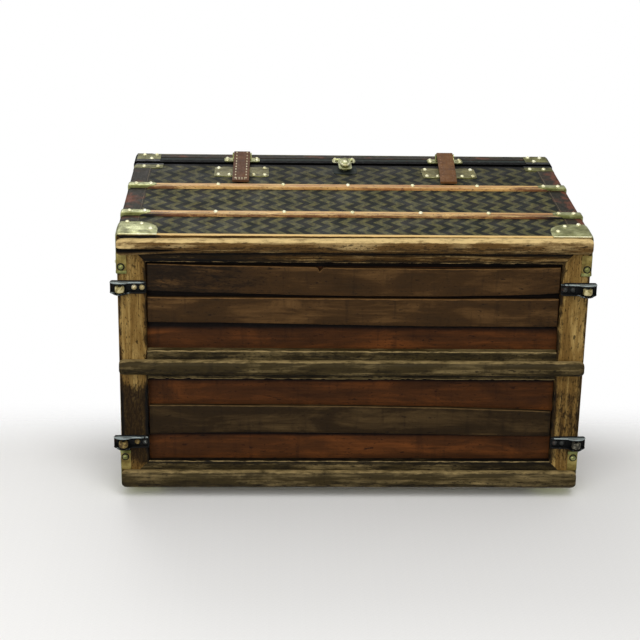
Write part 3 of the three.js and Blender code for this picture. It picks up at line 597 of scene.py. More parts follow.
def brass_finish(name, tone, polished, dull, roughness=(0.24, 0.5), metallic=0.75,
                 black=None, shine=0.3):
    """Aged brass: three tones in soft clouds, dark specks, small dents and fine scratches."""
    f = Finish(name, mapped=False)
    cloud = f.noise((45, 45, 45), detail=6, roughness=0.62)
    colour = f.ramp(cloud, (0.34, dull), (0.5, tone), (0.68, polished))
    speck = f.band(f.noise((300, 300, 300), (1, 2, 3), detail=3), 0.64, 0.72)
    colour = f.mix(f.math("MULTIPLY", speck, 0.7), colour, (66, 58, 34))
    # Painted shade: black over the given heights, the shadow between lid and rim.
    if black is not None:
        colour = f.mix(f.between(black), colour, (4, 4, 3))
    dents = f.noise((90, 90, 90), (4, 4, 4), detail=3)
    normal = f.bump(dents, 0.0012, 0.35)
    scratch = f.noise((900, 60, 500), (2, 7, 1), detail=2)
    normal = f.bump(scratch, 0.0002, 0.3, normal)
    return f.done(colour, f.band(cloud, 0.3, 0.7, roughness[1], roughness[0]), normal,
                  Metallic=metallic, **{"Specular IOR Level": shine})


def iron_finish(name, black, worn, share, roughness=(0.34, 0.6), metallic=0.85, shine=0.5,
                shaded=None):
    """Iron: black scale, rubbed through to bright metal over a share of the surface."""
    f = Finish(name, mapped=False)
    cloud = f.noise((120, 120, 120), detail=6, roughness=0.66)
    bare = f.band(f.math("ADD", cloud, f.math("MULTIPLY", f.mark("wear"), 0.42)),
                  0.72 - 0.5 * share, 0.82 - 0.5 * share)
    colour = f.mix(bare, black, worn)
    rust = f.band(f.noise((80, 80, 80), (6, 1, 2), detail=5), 0.58, 0.7)
    colour = f.mix(f.math("MULTIPLY", rust, 0.4), colour, (74, 46, 30))
    # Painted shade: near black over the given heights, the shadow between lid and rim.
    if shaded is not None:
        colour = f.mix(f.between(shaded), colour, (3, 3, 3))
    normal = f.bump(f.noise((260, 260, 260), detail=4), 0.0008, 0.5)
    return f.done(colour, f.band(cloud, 0.3, 0.75, roughness[1], roughness[0]), normal,
                  Metallic=metallic, **{"Specular IOR Level": shine})


def leather_finish(name, colour, dark, rubbed, mapped=True, patches=0.4):
    """Leather: fine cells and pores, darker creases, rubbed red patches and edges."""
    f = Finish(name, mapped)
    cloud = f.noise((24, 24, 24), detail=6, roughness=0.6)
    tone = f.ramp(cloud, (0.32, dark), (0.52, colour), (0.72, rubbed))
    patch = f.band(f.noise((13, 19, 16), (3, 3, 3), detail=7, roughness=0.7),
                   0.68 - 0.2 * patches, 0.78 - 0.2 * patches)
    tone = f.mix(f.math("MULTIPLY", patch, 0.7), tone, rubbed)
    edge = f.math("MULTIPLY", f.mark("wear"), 0.6)
    tone = f.mix(edge, tone, dark)
    scuff = f.noise((40, 60, 50), (7, 1, 2), detail=7, roughness=0.7)
    scuff = f.math("ADD", f.math("MULTIPLY", f.mark("soil_and_shade"), 0.42), scuff)
    tone = f.mix(f.band(scuff, 0.72, 0.9, 0.0, 0.9), tone, rubbed)
    grain = f.cells((800, 800, 800))
    normal = f.bump(grain, 0.0005, 0.35)
    crease = f.noise((60, 160, 110), (1, 1, 6), detail=6, roughness=0.7)
    normal = f.bump(crease, 0.001, 0.45, normal)
    return f.done(tone, f.band(crease, 0.3, 0.7, 0.55, 0.75), normal,
                  **{"Specular IOR Level": 0.1})


def cloth_finish():
    """Aged linen: crossed threads, soft stains and slubs."""
    f = Finish("linen_lining", mapped=False)
    x, y, z = f.parts()
    threads = f.math("SINE", f.math("MULTIPLY", f.math("ADD", x, y), LINEN_WEAVE))
    crossing = f.math("SINE", f.math("MULTIPLY", f.math("SUBTRACT", z, y), LINEN_WEAVE))
    weave = f.math("MULTIPLY", threads, crossing)
    cloud = f.noise((7, 7, 7), detail=7, roughness=0.6)
    colour = f.ramp(cloud, (0.3, (128, 108, 76)), (0.5, (176, 158, 122)), (0.7, (196, 181, 148)))
    slub = f.noise((30, 30, 400), detail=3)
    colour = f.mix(f.band(slub, 0.55, 0.75, 0.0, 0.35), colour, (120, 102, 74))
    normal = f.bump(weave, 0.00025, 0.6)
    normal = f.bump(cloud, 0.003, 0.3, normal)
    return f.done(colour, 0.9, normal)


finishes = {}


def mix_finishes(look):
    """Makes every finish of the trunk and keeps it by its name."""
    # Heights between the rim and the lid, where the metal is painted black as the shadow in the
    # gap.
    gap = (RIM_Z - 9 * MM, LID_LOW[2] + 14 * MM)
    # Painted shade on the red panel beside each edge: where each starts in y, how long it stays
    # black and how long it fades.
    shades = [(box("frame_front_rail")[1][1], 11 * MM, 2 * MM),
              (box("bottom_board_front")[1][1] - 13 * MM, 18 * MM, 2 * MM),
              (box("bottom_board_second")[1][1] - 9 * MM, 12 * MM, 13 * MM),
              (box("frame_middle_rail")[1][1] - 2 * MM, 7 * MM, 8 * MM),
              (box("bottom_board_rear")[1][1] - 8 * MM, 11 * MM, 8 * MM)]
    finishes.update(
        canvas=canvas_finish(look),
        honey=wood_finish("honey_beech", (228, 196, 130), (200, 156, 88), (158, 104, 52),
                          (96, 54, 26), stained=0.3, rubbed=0.5, gloss=(0.45, 0.6),
                          relief=0.3, cloudy=0.3, shine=0.25),
        pale=wood_finish("pale_beech", (224, 188, 122), (77, 54, 21), (51, 35, 12),
                         (23, 16, 5), stained=0.6, rubbed=0.9, cloudy=0.3),
        stile=wood_finish("stile_beech", (172, 144, 86), (120, 92, 45), (84, 58, 23),
                          (30, 19, 5), stained=0.55, rubbed=0.6, flecks=0.03, cloudy=0.5),
        log=wood_finish("runner_beech", (212, 184, 126), (92, 67, 32), (62, 44, 19),
                        (34, 24, 10), stained=0.5, rubbed=0.95, contrast=0.62, flecks=0.03,
                        cloudy=0.55),
        grey=wood_finish("greyed_beech", (144, 124, 82), (56, 46, 23), (38, 30, 14),
                         (20, 15, 7), stained=0.55, rubbed=1.0, contrast=0.7, cloudy=0.6),
        board=wood_finish("dark_board", (110, 80, 44), (58, 39, 17), (35, 25, 12),
                          (24, 17, 9), stained=0.4, rubbed=0.95, contrast=0.5, cloudy=0.8),
        dull=wood_finish("dull_board", (92, 72, 42), (41, 29, 12), (28, 19, 8),
                         (20, 13, 6), stained=0.4, rubbed=0.95, contrast=0.5, cloudy=0.8),
        panel=wood_finish("red_panel", (102, 57, 22), (68, 38, 14), (45, 25, 9),
                          (26, 15, 7), stained=0.4, rubbed=0.0, mapped=False, contrast=0.9,
                          shades=shades, cloudy=0.7),
        brass=brass_finish("aged_brass", (132, 134, 78), (184, 186, 128), (90, 90, 44),
                           metallic=0.6),
        cap=brass_finish("cap_brass", (94, 92, 44), (130, 128, 70), (62, 60, 28),
                         metallic=0.1, black=gap, shine=0.06),
        olive=brass_finish("olive_brass", (96, 90, 40), (128, 120, 62), (68, 62, 26),
                           metallic=0.1, shine=0.1),
        tab=brass_finish("tab_brass", (132, 116, 60), (170, 154, 92), (94, 78, 38),
                         metallic=0.3, shine=0.2),
        rivet=brass_finish("rivet_brass", (176, 160, 112), (240, 232, 200), (120, 102, 62),
                           metallic=0.3),
        # Near white brass on nail heads, front corner feet and plate edges: rubbed metal, partly a
        # painted highlight.
        bright=brass_finish("rubbed_brass_and_glint", (244, 240, 196), (255, 253, 230), (196, 188, 132),
                            (0.18, 0.32), 0.3),
        iron=iron_finish("castor_iron", (16, 17, 17), (150, 160, 158), 0.06, metallic=0.4,
                         shine=0.2),
        worn_iron=iron_finish("worn_iron", (78, 80, 78), (180, 182, 176), 0.6,
                              metallic=0.6),
        black=iron_finish("black_edging", (42, 47, 44), (96, 102, 96), 0.2, (0.5, 0.7), 0.0,
                          0.03, shaded=gap),
        rough_iron=iron_finish("dull_iron", (48, 49, 46), (120, 122, 114), 0.3,
                               metallic=0.3, shine=0.3),
        steel=iron_finish("roller_metal", (150, 136, 84), (214, 202, 150), 0.5, (0.28, 0.5),
                          0.4),
        tan_roller=iron_finish("dulled_roller", (84, 66, 34), (142, 122, 70), 0.5, (0.4, 0.6),
                               0.2, 0.3),
        grey_roller=iron_finish("greyed_roller", (52, 50, 42), (112, 108, 92), 0.5,
                                (0.4, 0.6), 0.2, 0.3),
        strap=leather_finish("strap_leather", (*look.leather, 1.0), (66, 42, 27),
                             (146, 100, 64)),
        tan=leather_finish("tan_strap", (134, 90, 46), (78, 50, 27), (168, 120, 70)),
        binding=leather_finish("edge_binding", (46, 41, 32), (34, 32, 26), (104, 60, 42),
                               patches=0.0),
        seam=leather_finish("binding_thread", (140, 126, 98), (100, 88, 66), (166, 152, 124),
                            mapped=False),
        faded=leather_finish("faded_thread", (124, 88, 60), (96, 66, 44), (146, 108, 78),
                             mapped=False),
        linen=cloth_finish(),
        thread=leather_finish("thread", (196, 184, 150), (150, 136, 104), (220, 210, 182),
                              mapped=False),
    )


# Shapes that follow the case


def perimeter(offset):
    """Plan of the case's walls moved out by an offset: straights and round corners."""
    outline = rounded(2 * (HALF_X + offset), 2 * (HALF_Y + offset), CASE_RADIUS + offset, 6)
    return dense(outline, 24 * MM) + [0, MID_Y]


def ring_wall(skin, heights, outer, inner, soil_and_shade=0.0):
    """A closed wall round the case: the plan at every height outside, then back inside."""
    outside, inside = (np.broadcast_to(plan[None], (len(heights),) + plan.shape)
                       for plan in (outer, inner))
    z = np.broadcast_to(np.asarray(heights)[:, None, None], outside.shape[:2] + (1,))
    out = np.concatenate([outside, z], -1)
    back = np.concatenate([inside, z], -1)[::-1]
    soil_and_shade = np.broadcast_to(soil_and_shade, len(heights))
    soil_and_shade = np.concatenate([soil_and_shade, soil_and_shade[::-1]])[:, None] + 0 * out[0, :, 0]
    return skin.grid(np.concatenate([out, back]), along=True, soil_and_shade=soil_and_shade)


def dome(inset, base):
    """Section of the lid from its front foot over half an ellipse to its back foot."""
    half, rise = HALF_Y - inset, DOME_RISE - inset
    turn = np.linspace(np.pi, 0, 56)
    arc = np.stack([half * np.cos(turn), BAND_TOP + rise * np.sin(turn)], -1)
    foot = np.linspace(base, BAND_TOP, 6)[:-1]
    front = np.stack([np.full(5, -half), foot], -1)
    back = np.stack([np.full(5, half), foot[::-1]], -1)
    return np.concatenate([front, arc, back]) + [MID_Y, 0]


def outward(section):
    """Unit normals of an open section, turned away from its inside."""
    along = np.gradient(section, axis=0)
    return unit(np.stack([-along[:, 1], along[:, 0]], -1))


def slat_section():
    """A slat's outline: a flat back and a crowned face with round shoulders."""
    half, edge, crown = SLAT_WIDTH / 2, 3.4 * MM, 0.5 * MM
    turn = np.linspace(0, np.pi / 2, 5)
    right = np.stack([half - edge + edge * np.cos(turn),
                      SLAT_DEPTH - edge + edge * np.sin(turn)], -1)
    left = right[::-1] * [-1, 1]
    top = np.array([[half * s, SLAT_DEPTH + crown * (1 - s * s)] for s in (0.5, 0, -0.5)])
    face = np.concatenate([right, top, left]) - [0, crown]
    return np.concatenate([[[-half, 0], [half, 0]], face])


# The pieces


def case_canvas():
    """Canvas round the case, darkened towards the rim and black at its top as painted shade under
    the lid, and the finishes of its packed walls.
    """
    heights = np.append(np.linspace(FLOOR_Z - CANVAS_LAP, RIM_Z - 13 * MM, 19),
                        [RIM_Z - 12 * MM, RIM_Z - 0.3 * MM])
    above_slat = (heights - box("slat_front_upper")[1][2]) / (20 * MM)
    # Painted shade: a ramp above the upper slat, and black over the top 12 mm under the lid's edge.
    soil_and_shade = np.where(heights > RIM_Z - 12.5 * MM, 1.0, 0.26 * np.clip(above_slat, 0, 1))
    skin = ring_wall(Skin(), heights, perimeter(0.24 * MM), perimeter(0.04 * MM), soil_and_shade)
    skin.piece("case_canvas", "body", "coated_canvas", finishes["canvas"])
    for node, finish in (("body_carcass", "panel"), ("body_lining", "linen")):
        slots = frame["nodes"][node].data.materials
        slots.clear()
        slots.append(finishes[finish])


def dome_case(inset, thick, rim_inset, base):
    """A sheet over the dome along X, and at each end a wall that fills the dome's section."""
    skin = Skin()
    half = HALF_X - inset
    sheet = np.concatenate([dome(inset, base), dome(inset + thick, base)[::-1]])
    skin.grid(np.stack([at_x(x, sheet) for x in np.linspace(-half, half, 30)]))
    rim = dome(rim_inset, base)
    middle = np.broadcast_to([MID_Y, base], rim.shape)
    for side in SIDES.values():
        rings = [(half - thick, middle), (half - thick, rim), (half, rim), (half, middle)]
        wall = np.stack([at_x(side * x, ring) for x, ring in rings])
        chart = wall[..., 1:]
        skin.grid(wall, chart=np.concatenate([chart, chart[:, :1]], 1))
    return skin


def body_binding(look):
    """Leather on the upright edges: a quarter circle between two straights, carried up."""
    width, thick = look.binding_width, 0.7 * MM
    base, top = FLOOR_Z + 45 * MM, RIM_Z - 30 * MM
    heights = np.linspace(base, top, 40)
    angle = np.linspace(0, np.pi / 2, 7)
    arc = np.stack([np.sin(angle), -np.cos(angle)], -1)
    corner = np.array([HALF_X - CASE_RADIUS, CASE_RADIUS - HALF_Y])
    outer, inner = (np.concatenate([[[-width, -radius]], arc * radius, [[radius, width]]])
                    for radius in (IRON_RADIUS + thick, IRON_RADIUS - 0.2 * MM))
    outline = np.concatenate([outer, inner[::-1]]) + corner
    skin = Skin()
    for end, side in CORNERS:
        mirror = np.array([SIDES[side], -ENDS[end]])
        plan = outline * mirror + [0, MID_Y]
        points = np.stack([np.concatenate([plan, np.full((len(plan), 1), z)], 1)
                           for z in heights])
        red = np.exp(-((heights - 0.245) / 0.05) ** 2) if side == "left" \
            else np.full(len(heights), 0.85)
        from_edge = np.abs(points[..., 0] - SIDES[side] * HALF_X)
        red = red[:, None] * np.clip(1.2 - from_edge / (22 * MM), 0, 1)
        skin.grid(capped(points), soil_and_shade=capped(red), shift=(ENDS[end], SIDES[side]))
        proud = 0.3 * MM + thick
        seams = [([corner[0] - width + SEAM_INSET, -HALF_Y - proud], ENDS[end] * BACK),
                 ([HALF_X + proud, corner[1] + width - SEAM_INSET], SIDES[side] * RIGHT)]
        for line, way in seams:
            line = line * mirror + [0, MID_Y]
            path = [[*line, base + 3 * MM], [*line, top - 3 * MM]]
            stitches(skin, path, way, look.stitch_pitch)
    skin.piece("body_binding", "body", "strap_leather", finishes["binding"], finishes["seam"])


def lid_binding(look):
    """Leather round the lid above its edging and round the dome's two ends, with seams."""
    width, thick, tuck = look.binding_width, 0.8 * MM, 0.2 * MM
    skin = ring_wall(Skin(), np.linspace(LID_LOW[2] + 38 * MM, BAND_TOP - 3 * MM, 6),
                     perimeter(1.3 * MM), perimeter(0.05 * MM))
    base = LID_LOW[2] + 30 * MM
    outer, inward = dome(0, base), dome(width, base)
    ways = outward(outer)
    over, under = outer + ways * thick, outer - ways * tuck
    for side in SIDES.values():
        rows = [(HALF_X - width, over), (HALF_X, over), (HALF_X + thick, outer),
                (HALF_X + thick, inward), (HALF_X - tuck, inward), (HALF_X - tuck, under),
                (HALF_X - width, under)]
        band = np.stack([at_x(side * x, section) for x, section in rows], 1)
        skin.grid(capped(band), shift=(side, 2))
        stitches(skin, at_x(side * (HALF_X - width + SEAM_INSET), over), at_x(0, ways),
                 look.stitch_pitch)
        stitches(skin, at_x(side * (HALF_X + thick), dome(width - SEAM_INSET, base)),
                 side * RIGHT, look.stitch_pitch)
    skin.piece("lid_binding", "lid", "strap_leather", finishes["binding"], finishes["seam"])


def make_canvas(look):
    """Body and lid canvas, the lid's lining, and the leather bindings with their stitches."""
    case_canvas()
    dome_case(0, 10 * MM, 10 * MM, LID_LOW[2]).piece(
        "lid_canvas", "lid", "coated_canvas", finishes["canvas"], replaces=["lid_shell"])
    dome_case(10.3 * MM, 1.5 * MM, 10.3 * MM, box("lid_lining")[0][2]).piece(
        "lid_cloth", "lid", "cloth_lining", finishes["linen"], replaces=["lid_lining"])
    body_binding(look)
    lid_binding(look)


def wall_slat(look, number, wall, level, clamps, nails):
    """A crowned section along a wall, drifting in height by waves, its lower half darkened as
    painted shade, with dirt growing towards both ends.
    """
    place, along, out = WALLS[wall]
    node = f"slat_{wall}_{level}"
    low, high = box(node)
    half = abs((high - low) @ along) / 2
    base = place + (low[2] + SLAT_WIDTH / 2) * UP + out * 0.3 * MM
    stations = np.linspace(-half, half, 60)
    section = slat_section()
    ends = eased_edge(half - np.abs(stations), 150 * MM)[:, None]
    under = np.clip((2 * MM - section[:, 0]) / (10 * MM), 0, 1)
    # Painted shade on the slat's lower half, stronger on the lower slats, plus dirt towards both
    # ends.
    soil_and_shade = ((0.6 if level == "upper" else 1.2) + 1.6 * ends) * under

    def drifted(points):
        """Points moved in height by waves of half a millimetre."""
        drift = ripple(points * [1, 1, 0.2], 0.3, number)
        return points + drift[..., None] * 0.5 * MM * UP

    skin = Skin()
    sweep(skin, base + stations[:, None] * along, UP, out, section, slat_wear(section), soil_and_shade,
          shift=slat_shift(number), grade=drifted)
    skin.piece(f"{node}_wood", "body", "honey_beech", finishes["honey"], replaces=[node])
    count = 2 if half > 0.3 else 1
    spots = np.arange(-count, count + 1) * NAIL_PITCH
    studs(nails, base + spots[:, None] * along + out * SLAT_DEPTH, out, look.nail_radius)
    ends = half - np.array(CLAMP_NAILS)
    spots = np.concatenate([ends, -ends])
    studs(nails, base + spots[:, None] * along + out * (SLAT_DEPTH + CLAMP_THICK), out,
          look.nail_radius)
    for way in (-along, along):
        tip = base + way * (half + 0.4 * MM)
        clamp(clamps, tip, UP, out, way, 30 * MM if wall in ENDS else 7.4 * MM)
        if wall in ENDS:
            studs(nails, tip - 17 * MM * out + CLAMP_THICK * way, way, look.nail_radius,
                  END_NAIL_HEIGHT)


def lid_slat(look, number, place, angle, clamps, nails):
    """The same section along X, stood on the dome's ellipse at an angle from its back."""
    cosine, sine = math.cos(math.radians(angle)), math.sin(math.radians(angle))
    out = unit(np.array([0, cosine / HALF_Y, sine / DOME_RISE]))
    across = np.cross(RIGHT, out)
    base = [0, MID_Y + HALF_Y * cosine, BAND_TOP + DOME_RISE * sine] + out * 0.3 * MM
    section = slat_section()
    skin = Skin()
    sweep(skin, base + np.linspace(-HALF_X, HALF_X, 60)[:, None] * RIGHT, across, out, section,
          slat_wear(section), shift=slat_shift(number))
    node = f"lid_slat_{place}"
    skin.piece(f"{node}_wood", "lid", "honey_beech", finishes["honey"], replaces=[node])
    spots = np.arange(-2, 3) * NAIL_PITCH
    studs(nails, base + spots[:, None] * RIGHT + out * SLAT_DEPTH, out, look.nail_radius)
    for way in (-RIGHT, RIGHT):
        clamp(clamps, base + way * (HALF_X + 0.3 * MM), across, out, way, 34 * MM)
        for reach in CLAMP_NAILS:
            studs(nails, base + way * (HALF_X - reach) + out * (SLAT_DEPTH + CLAMP_THICK), out,
                  look.nail_radius)
        studs(nails, base + way * (HALF_X + 1.3 * MM) - out * 12 * MM, way, look.nail_radius,
              END_NAIL_HEIGHT)


def slat_wear(section):
    """Wear on the shoulders of a slat, none on its flat back or along its middle."""
    return np.clip((section[:, 1] - 2 * MM) / (4 * MM), 0, 1) * (np.abs(section[:, 0]) > 7 * MM)


def slat_shift(number):
    """Offset of the grain on the map, so that no two slats look alike."""
    return 0.37 * number, 0.05 * number


def make_slats(look):
    """Honey coloured slats on the walls and over the dome, with brass clamps and nails."""
    nails, clamps = {"body": Skin(), "lid": Skin()}, {"body": Skin(), "lid": Skin()}
    places = [(wall, level) for level in ("upper", "lower") for wall in WALLS]
    for number, (wall, level) in enumerate(places):
        wall_slat(look, number, wall, level, clamps["body"], nails["body"])
    for number, (place, angle) in enumerate([("front", 138), ("top", 90), ("back", 42)],
                                            len(places)):
        lid_slat(look, number, place, angle, clamps["lid"], nails["lid"])
    for body in ("body", "lid"):
        clamps[body].piece(f"slat_clamps_{body}", body, "aged_brass", finishes["brass"])
        nails[body].piece(f"nails_{body}", body, "aged_brass", finishes["bright"])


def tongue(reach):
    """Half width of a clamp at a distance from the corner: full, then a quarter ellipse."""
    full, wide, tip = 28 * MM, 12.1 * MM, 4 * MM
    share = np.clip((reach - full) / (CLAMP_LENGTH - full), 0, 1)
    return tip + (wide - tip) * np.sqrt(np.clip(1 - share**2, 0, 1))


def clamp(skin, tip, across, out, way, drop):
    """A brass plate along a slat's end and down over its end grain, bent round the corner."""
    bend = 3 * MM
    run, fall = np.linspace(CLAMP_LENGTH, bend, 12), np.linspace(bend, drop, 8)
    turn = np.linspace(0, np.pi / 2, 6)[1:-1]
    arc = np.stack([np.sin(turn), np.cos(turn)], -1)
    flat = np.concatenate([np.stack([-run, 0 * run], -1), bend * (arc - 1),
                           np.stack([0 * fall, -fall], -1)])
    ways = np.concatenate([np.tile([0, 1], (12, 1)), arc, np.tile([1, 0], (8, 1))])
    axes = np.stack([way, out])
    spine = tip + out * (SLAT_DEPTH + 0.1 * MM) + flat @ axes
    half = tongue(np.concatenate([run, np.full(4, bend), fall * 40 * MM / drop]))[:, None]
    share = np.array([-1.04, -1.03, -0.9, -0.45, 0, 0.45, 0.9, 1.03, 1.04, 0.98, 0.97, 0,
                      -0.97, -0.98])
    lift = np.array([-4.2, -0.4, 0.75, 0.9, 0.95, 0.9, 0.75, -0.4, -4.2, -4.2, -0.4, -0.3,
                     -0.4, -4.2]) * MM
    section = np.stack(np.broadcast_arrays(share * half, lift), -1)
    sweep(skin, spine, across, ways @ axes, section)


def bar(node, spine, section, finish, shift, grade, wear, soil_and_shade):
    """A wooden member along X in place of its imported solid."""
    skin = Skin()
    sweep(skin, spine, BACK, UP, section, wear, soil_and_shade, shift=shift, grade=grade)
    skin.piece(f"{node}_wood", "body", slot_of(node), finish, replaces=[node])


def mitred_bar(node, seed, finish, worn_in, worn_out, soiled):
    """A rail or stile: a rounded section whose ends are cut at 45 degrees towards its inside."""
    low, high = box(node)
    long_axis = 0 if "rail" in node else 1
    short_axis = 1 - long_axis
    centre, size = (low + high) / 2, high - low
    outer = np.sign(centre[short_axis] - MIDDLE[short_axis])
    section = dense(rounded(size[short_axis], size[2], 2.2 * MM, 4), 3.5 * MM)
    outside = size[short_axis] / 2 - outer * section[:, 0]
    inside = size[short_axis] - outside
    under = eased_edge(section[:, 1] + size[2] / 2, 4 * MM)
    face = eased_edge(outside, 2.5 * MM)
    wear = np.maximum(worn_out * face, under * worn_in * eased_edge(inside, 3.5 * MM))
    share = np.linspace(-1, 1, 110)
    points = np.zeros((len(share), len(section), 3))
    points[..., long_axis] = centre[long_axis] + share[:, None] * (size[long_axis] / 2 - outside)
    points[..., short_axis] = centre[short_axis] + section[:, 0]
    points[..., 2] = centre[2] + section[:, 1]
    dent = ripple(points, 0.05, seed) * 0.3 * MM + ripple(points, 0.013, seed + 9) * 0.22 * MM
    points[..., 2] += np.clip(dent, -0.2 * MM, 1 * MM) * (section[:, 1] < 0)
    chip = np.clip(ripple(points, 0.022, seed + 5) - 0.1, 0, 1) * 1.3 * MM
    points[..., short_axis] += outer * chip * eased_edge(inside, 3 * MM)
    ragged = 1 + 0.5 * ripple(points, 0.03, seed + 15)
    front = node == "frame_front_rail"
    rims = np.maximum(eased_edge(inside, 9 * MM), (not front) * eased_edge(outside, 9 * MM))
    soil_and_shade = (soiled(points) + 1.3 * ragged * rims) * (1 - face)
    # Painted shadow: black along the front rail's outer underside beneath the left front corner
    # iron.
    if front:
        soil_and_shade = soil_and_shade + 3 * (points[..., 0] < -0.352) * (outside < 8 * MM)
    skin = Skin()
    wear = np.broadcast_to(wear, points.shape[:2])
    skin.grid(capped(points), wear=capped(wear), soil_and_shade=capped(soil_and_shade),
              shift=(0.61 * seed, 0.13 * seed))
    skin.piece(f"{node}_wood", "body", "pale_beech", finish, replaces=[node])


def stile_soil(points):
    """Soil of the stiles: most beside the lower half's boards, more on the left one."""
    y = points[..., 1]
    low = np.clip((y - 0.03) / 0.03, 0, 1) * np.clip((0.22 - y) / 0.04, 0, 1)
    left = 0.9 * (points[..., 0] < 0)
    return (0.7 + left) * low + 0.3 * np.clip((-0.16 - y) / 0.03, 0, 1)


def front_soil_and_shade(points):
    """Dirt and painted shade of the front rail: a black painted shadow along its runner, and darker
    over its left end.
    """
    x, y, z = np.moveaxis(points, -1, 0)
    low, high = box("runner_front")
    # Painted shadow that the runner throws on the rail.
    runner_shadow = eased_edge(np.abs(y - high[1]), 9 * MM)
    left = np.clip((-0.12 - x) / 0.12, 0, 1) * (y > low[1] + 12 * MM)
    return 0.3 + 1.3 * left + 3.4 * runner_shadow * (z < FLOOR_Z - 10 * MM)


def back_soil(points):
    """Soil of the back rail, growing to the right."""
    return 0.6 + 0.4 * np.clip((points[..., 0] - 0.1) / 0.2, 0, 1)


def make_middle_rail():
    """The middle rail: a rounded section along X, its lower edges chewed by clipped waves."""
    low, high = box("frame_middle_rail")
    high[1] -= 1.5 * MM
    centre, size = (low + high) / 2, high - low
    section = dense(rounded(size[1], size[2], 1.6 * MM, 3), 1.5 * MM)
    edge = eased_edge(size[1] / 2 - np.abs(section[:, 0]), 4.5 * MM)
    wear = 0.95 * edge * eased_edge(section[:, 1] + size[2] / 2, 5 * MM)
    runner_edge = box("runner_middle")[1][1] + 2 * MM - centre[1]
    # Painted shadow of the runner on the rail: a black band along the runner's back edge.
    shade = 3 * eased_edge(np.abs(section[:, 0] - runner_edge), 3.5 * MM)

    def chewed(points):
        """Points of the lower edges moved up and inwards by the waves' upper halves."""
        dent = np.clip(ripple(points, 0.03, 21) * 0.8 + ripple(points, 0.011, 22) * 0.6, 0, 1)
        dent = dent * (points[..., 2] < centre[2]) * edge
        moved = points.copy()
        moved[..., 2] += dent * 1.3 * MM
        moved[..., 1] -= np.sign(points[..., 1] - centre[1]) * dent * 1.6 * MM
        return moved

    bar("frame_middle_rail", lengthwise(np.linspace(low[0], high[0], 150), centre[1], centre[2]),
        section, finishes["grey"], (5.0, 0.7), chewed, wear, 0.7 * (1 - edge) + shade)


def make_frame():
    """Mitred rails and stiles, the middle rail, the three runners and the warped boards."""
    mitred_bar("frame_front_rail", 0, finishes["pale"], 0.8, 1.2, front_soil_and_shade)
    mitred_bar("frame_back_rail", 1, finishes["grey"], 1.0, 0.5, back_soil)
    mitred_bar("frame_left_stile", 2, finishes["stile"], 0.5, 0.8, stile_soil)
    mitred_bar("frame_right_stile", 3, finishes["stile"], 0.5, 0.8, stile_soil)
    make_middle_rail()
    for seed, name in enumerate(["front", "middle", "back"]):
        make_runner(name, seed)
    for seed, name in enumerate(BOARDS):
        make_board(name, seed)


def runner_section(height, half, step):
    """Half an ellipse on each side of a flat foot, then a flat back with small shoulders."""
    foot, bend = 6 * MM, height - 5 * MM
    turn = np.linspace(-np.pi / 2, 0, 14)
    flank = np.stack([foot + (half - foot) * np.cos(turn), bend + bend * np.sin(turn)], -1)
    top = np.array([[half, height - 1.6 * MM], [half - 0.8 * MM, height - 0.3 * MM],
                    [half - 2.5 * MM, height]])
    right = np.concatenate([flank, top])
    return dense(np.concatenate([right, right[::-1] * [-1, 1]]), step)


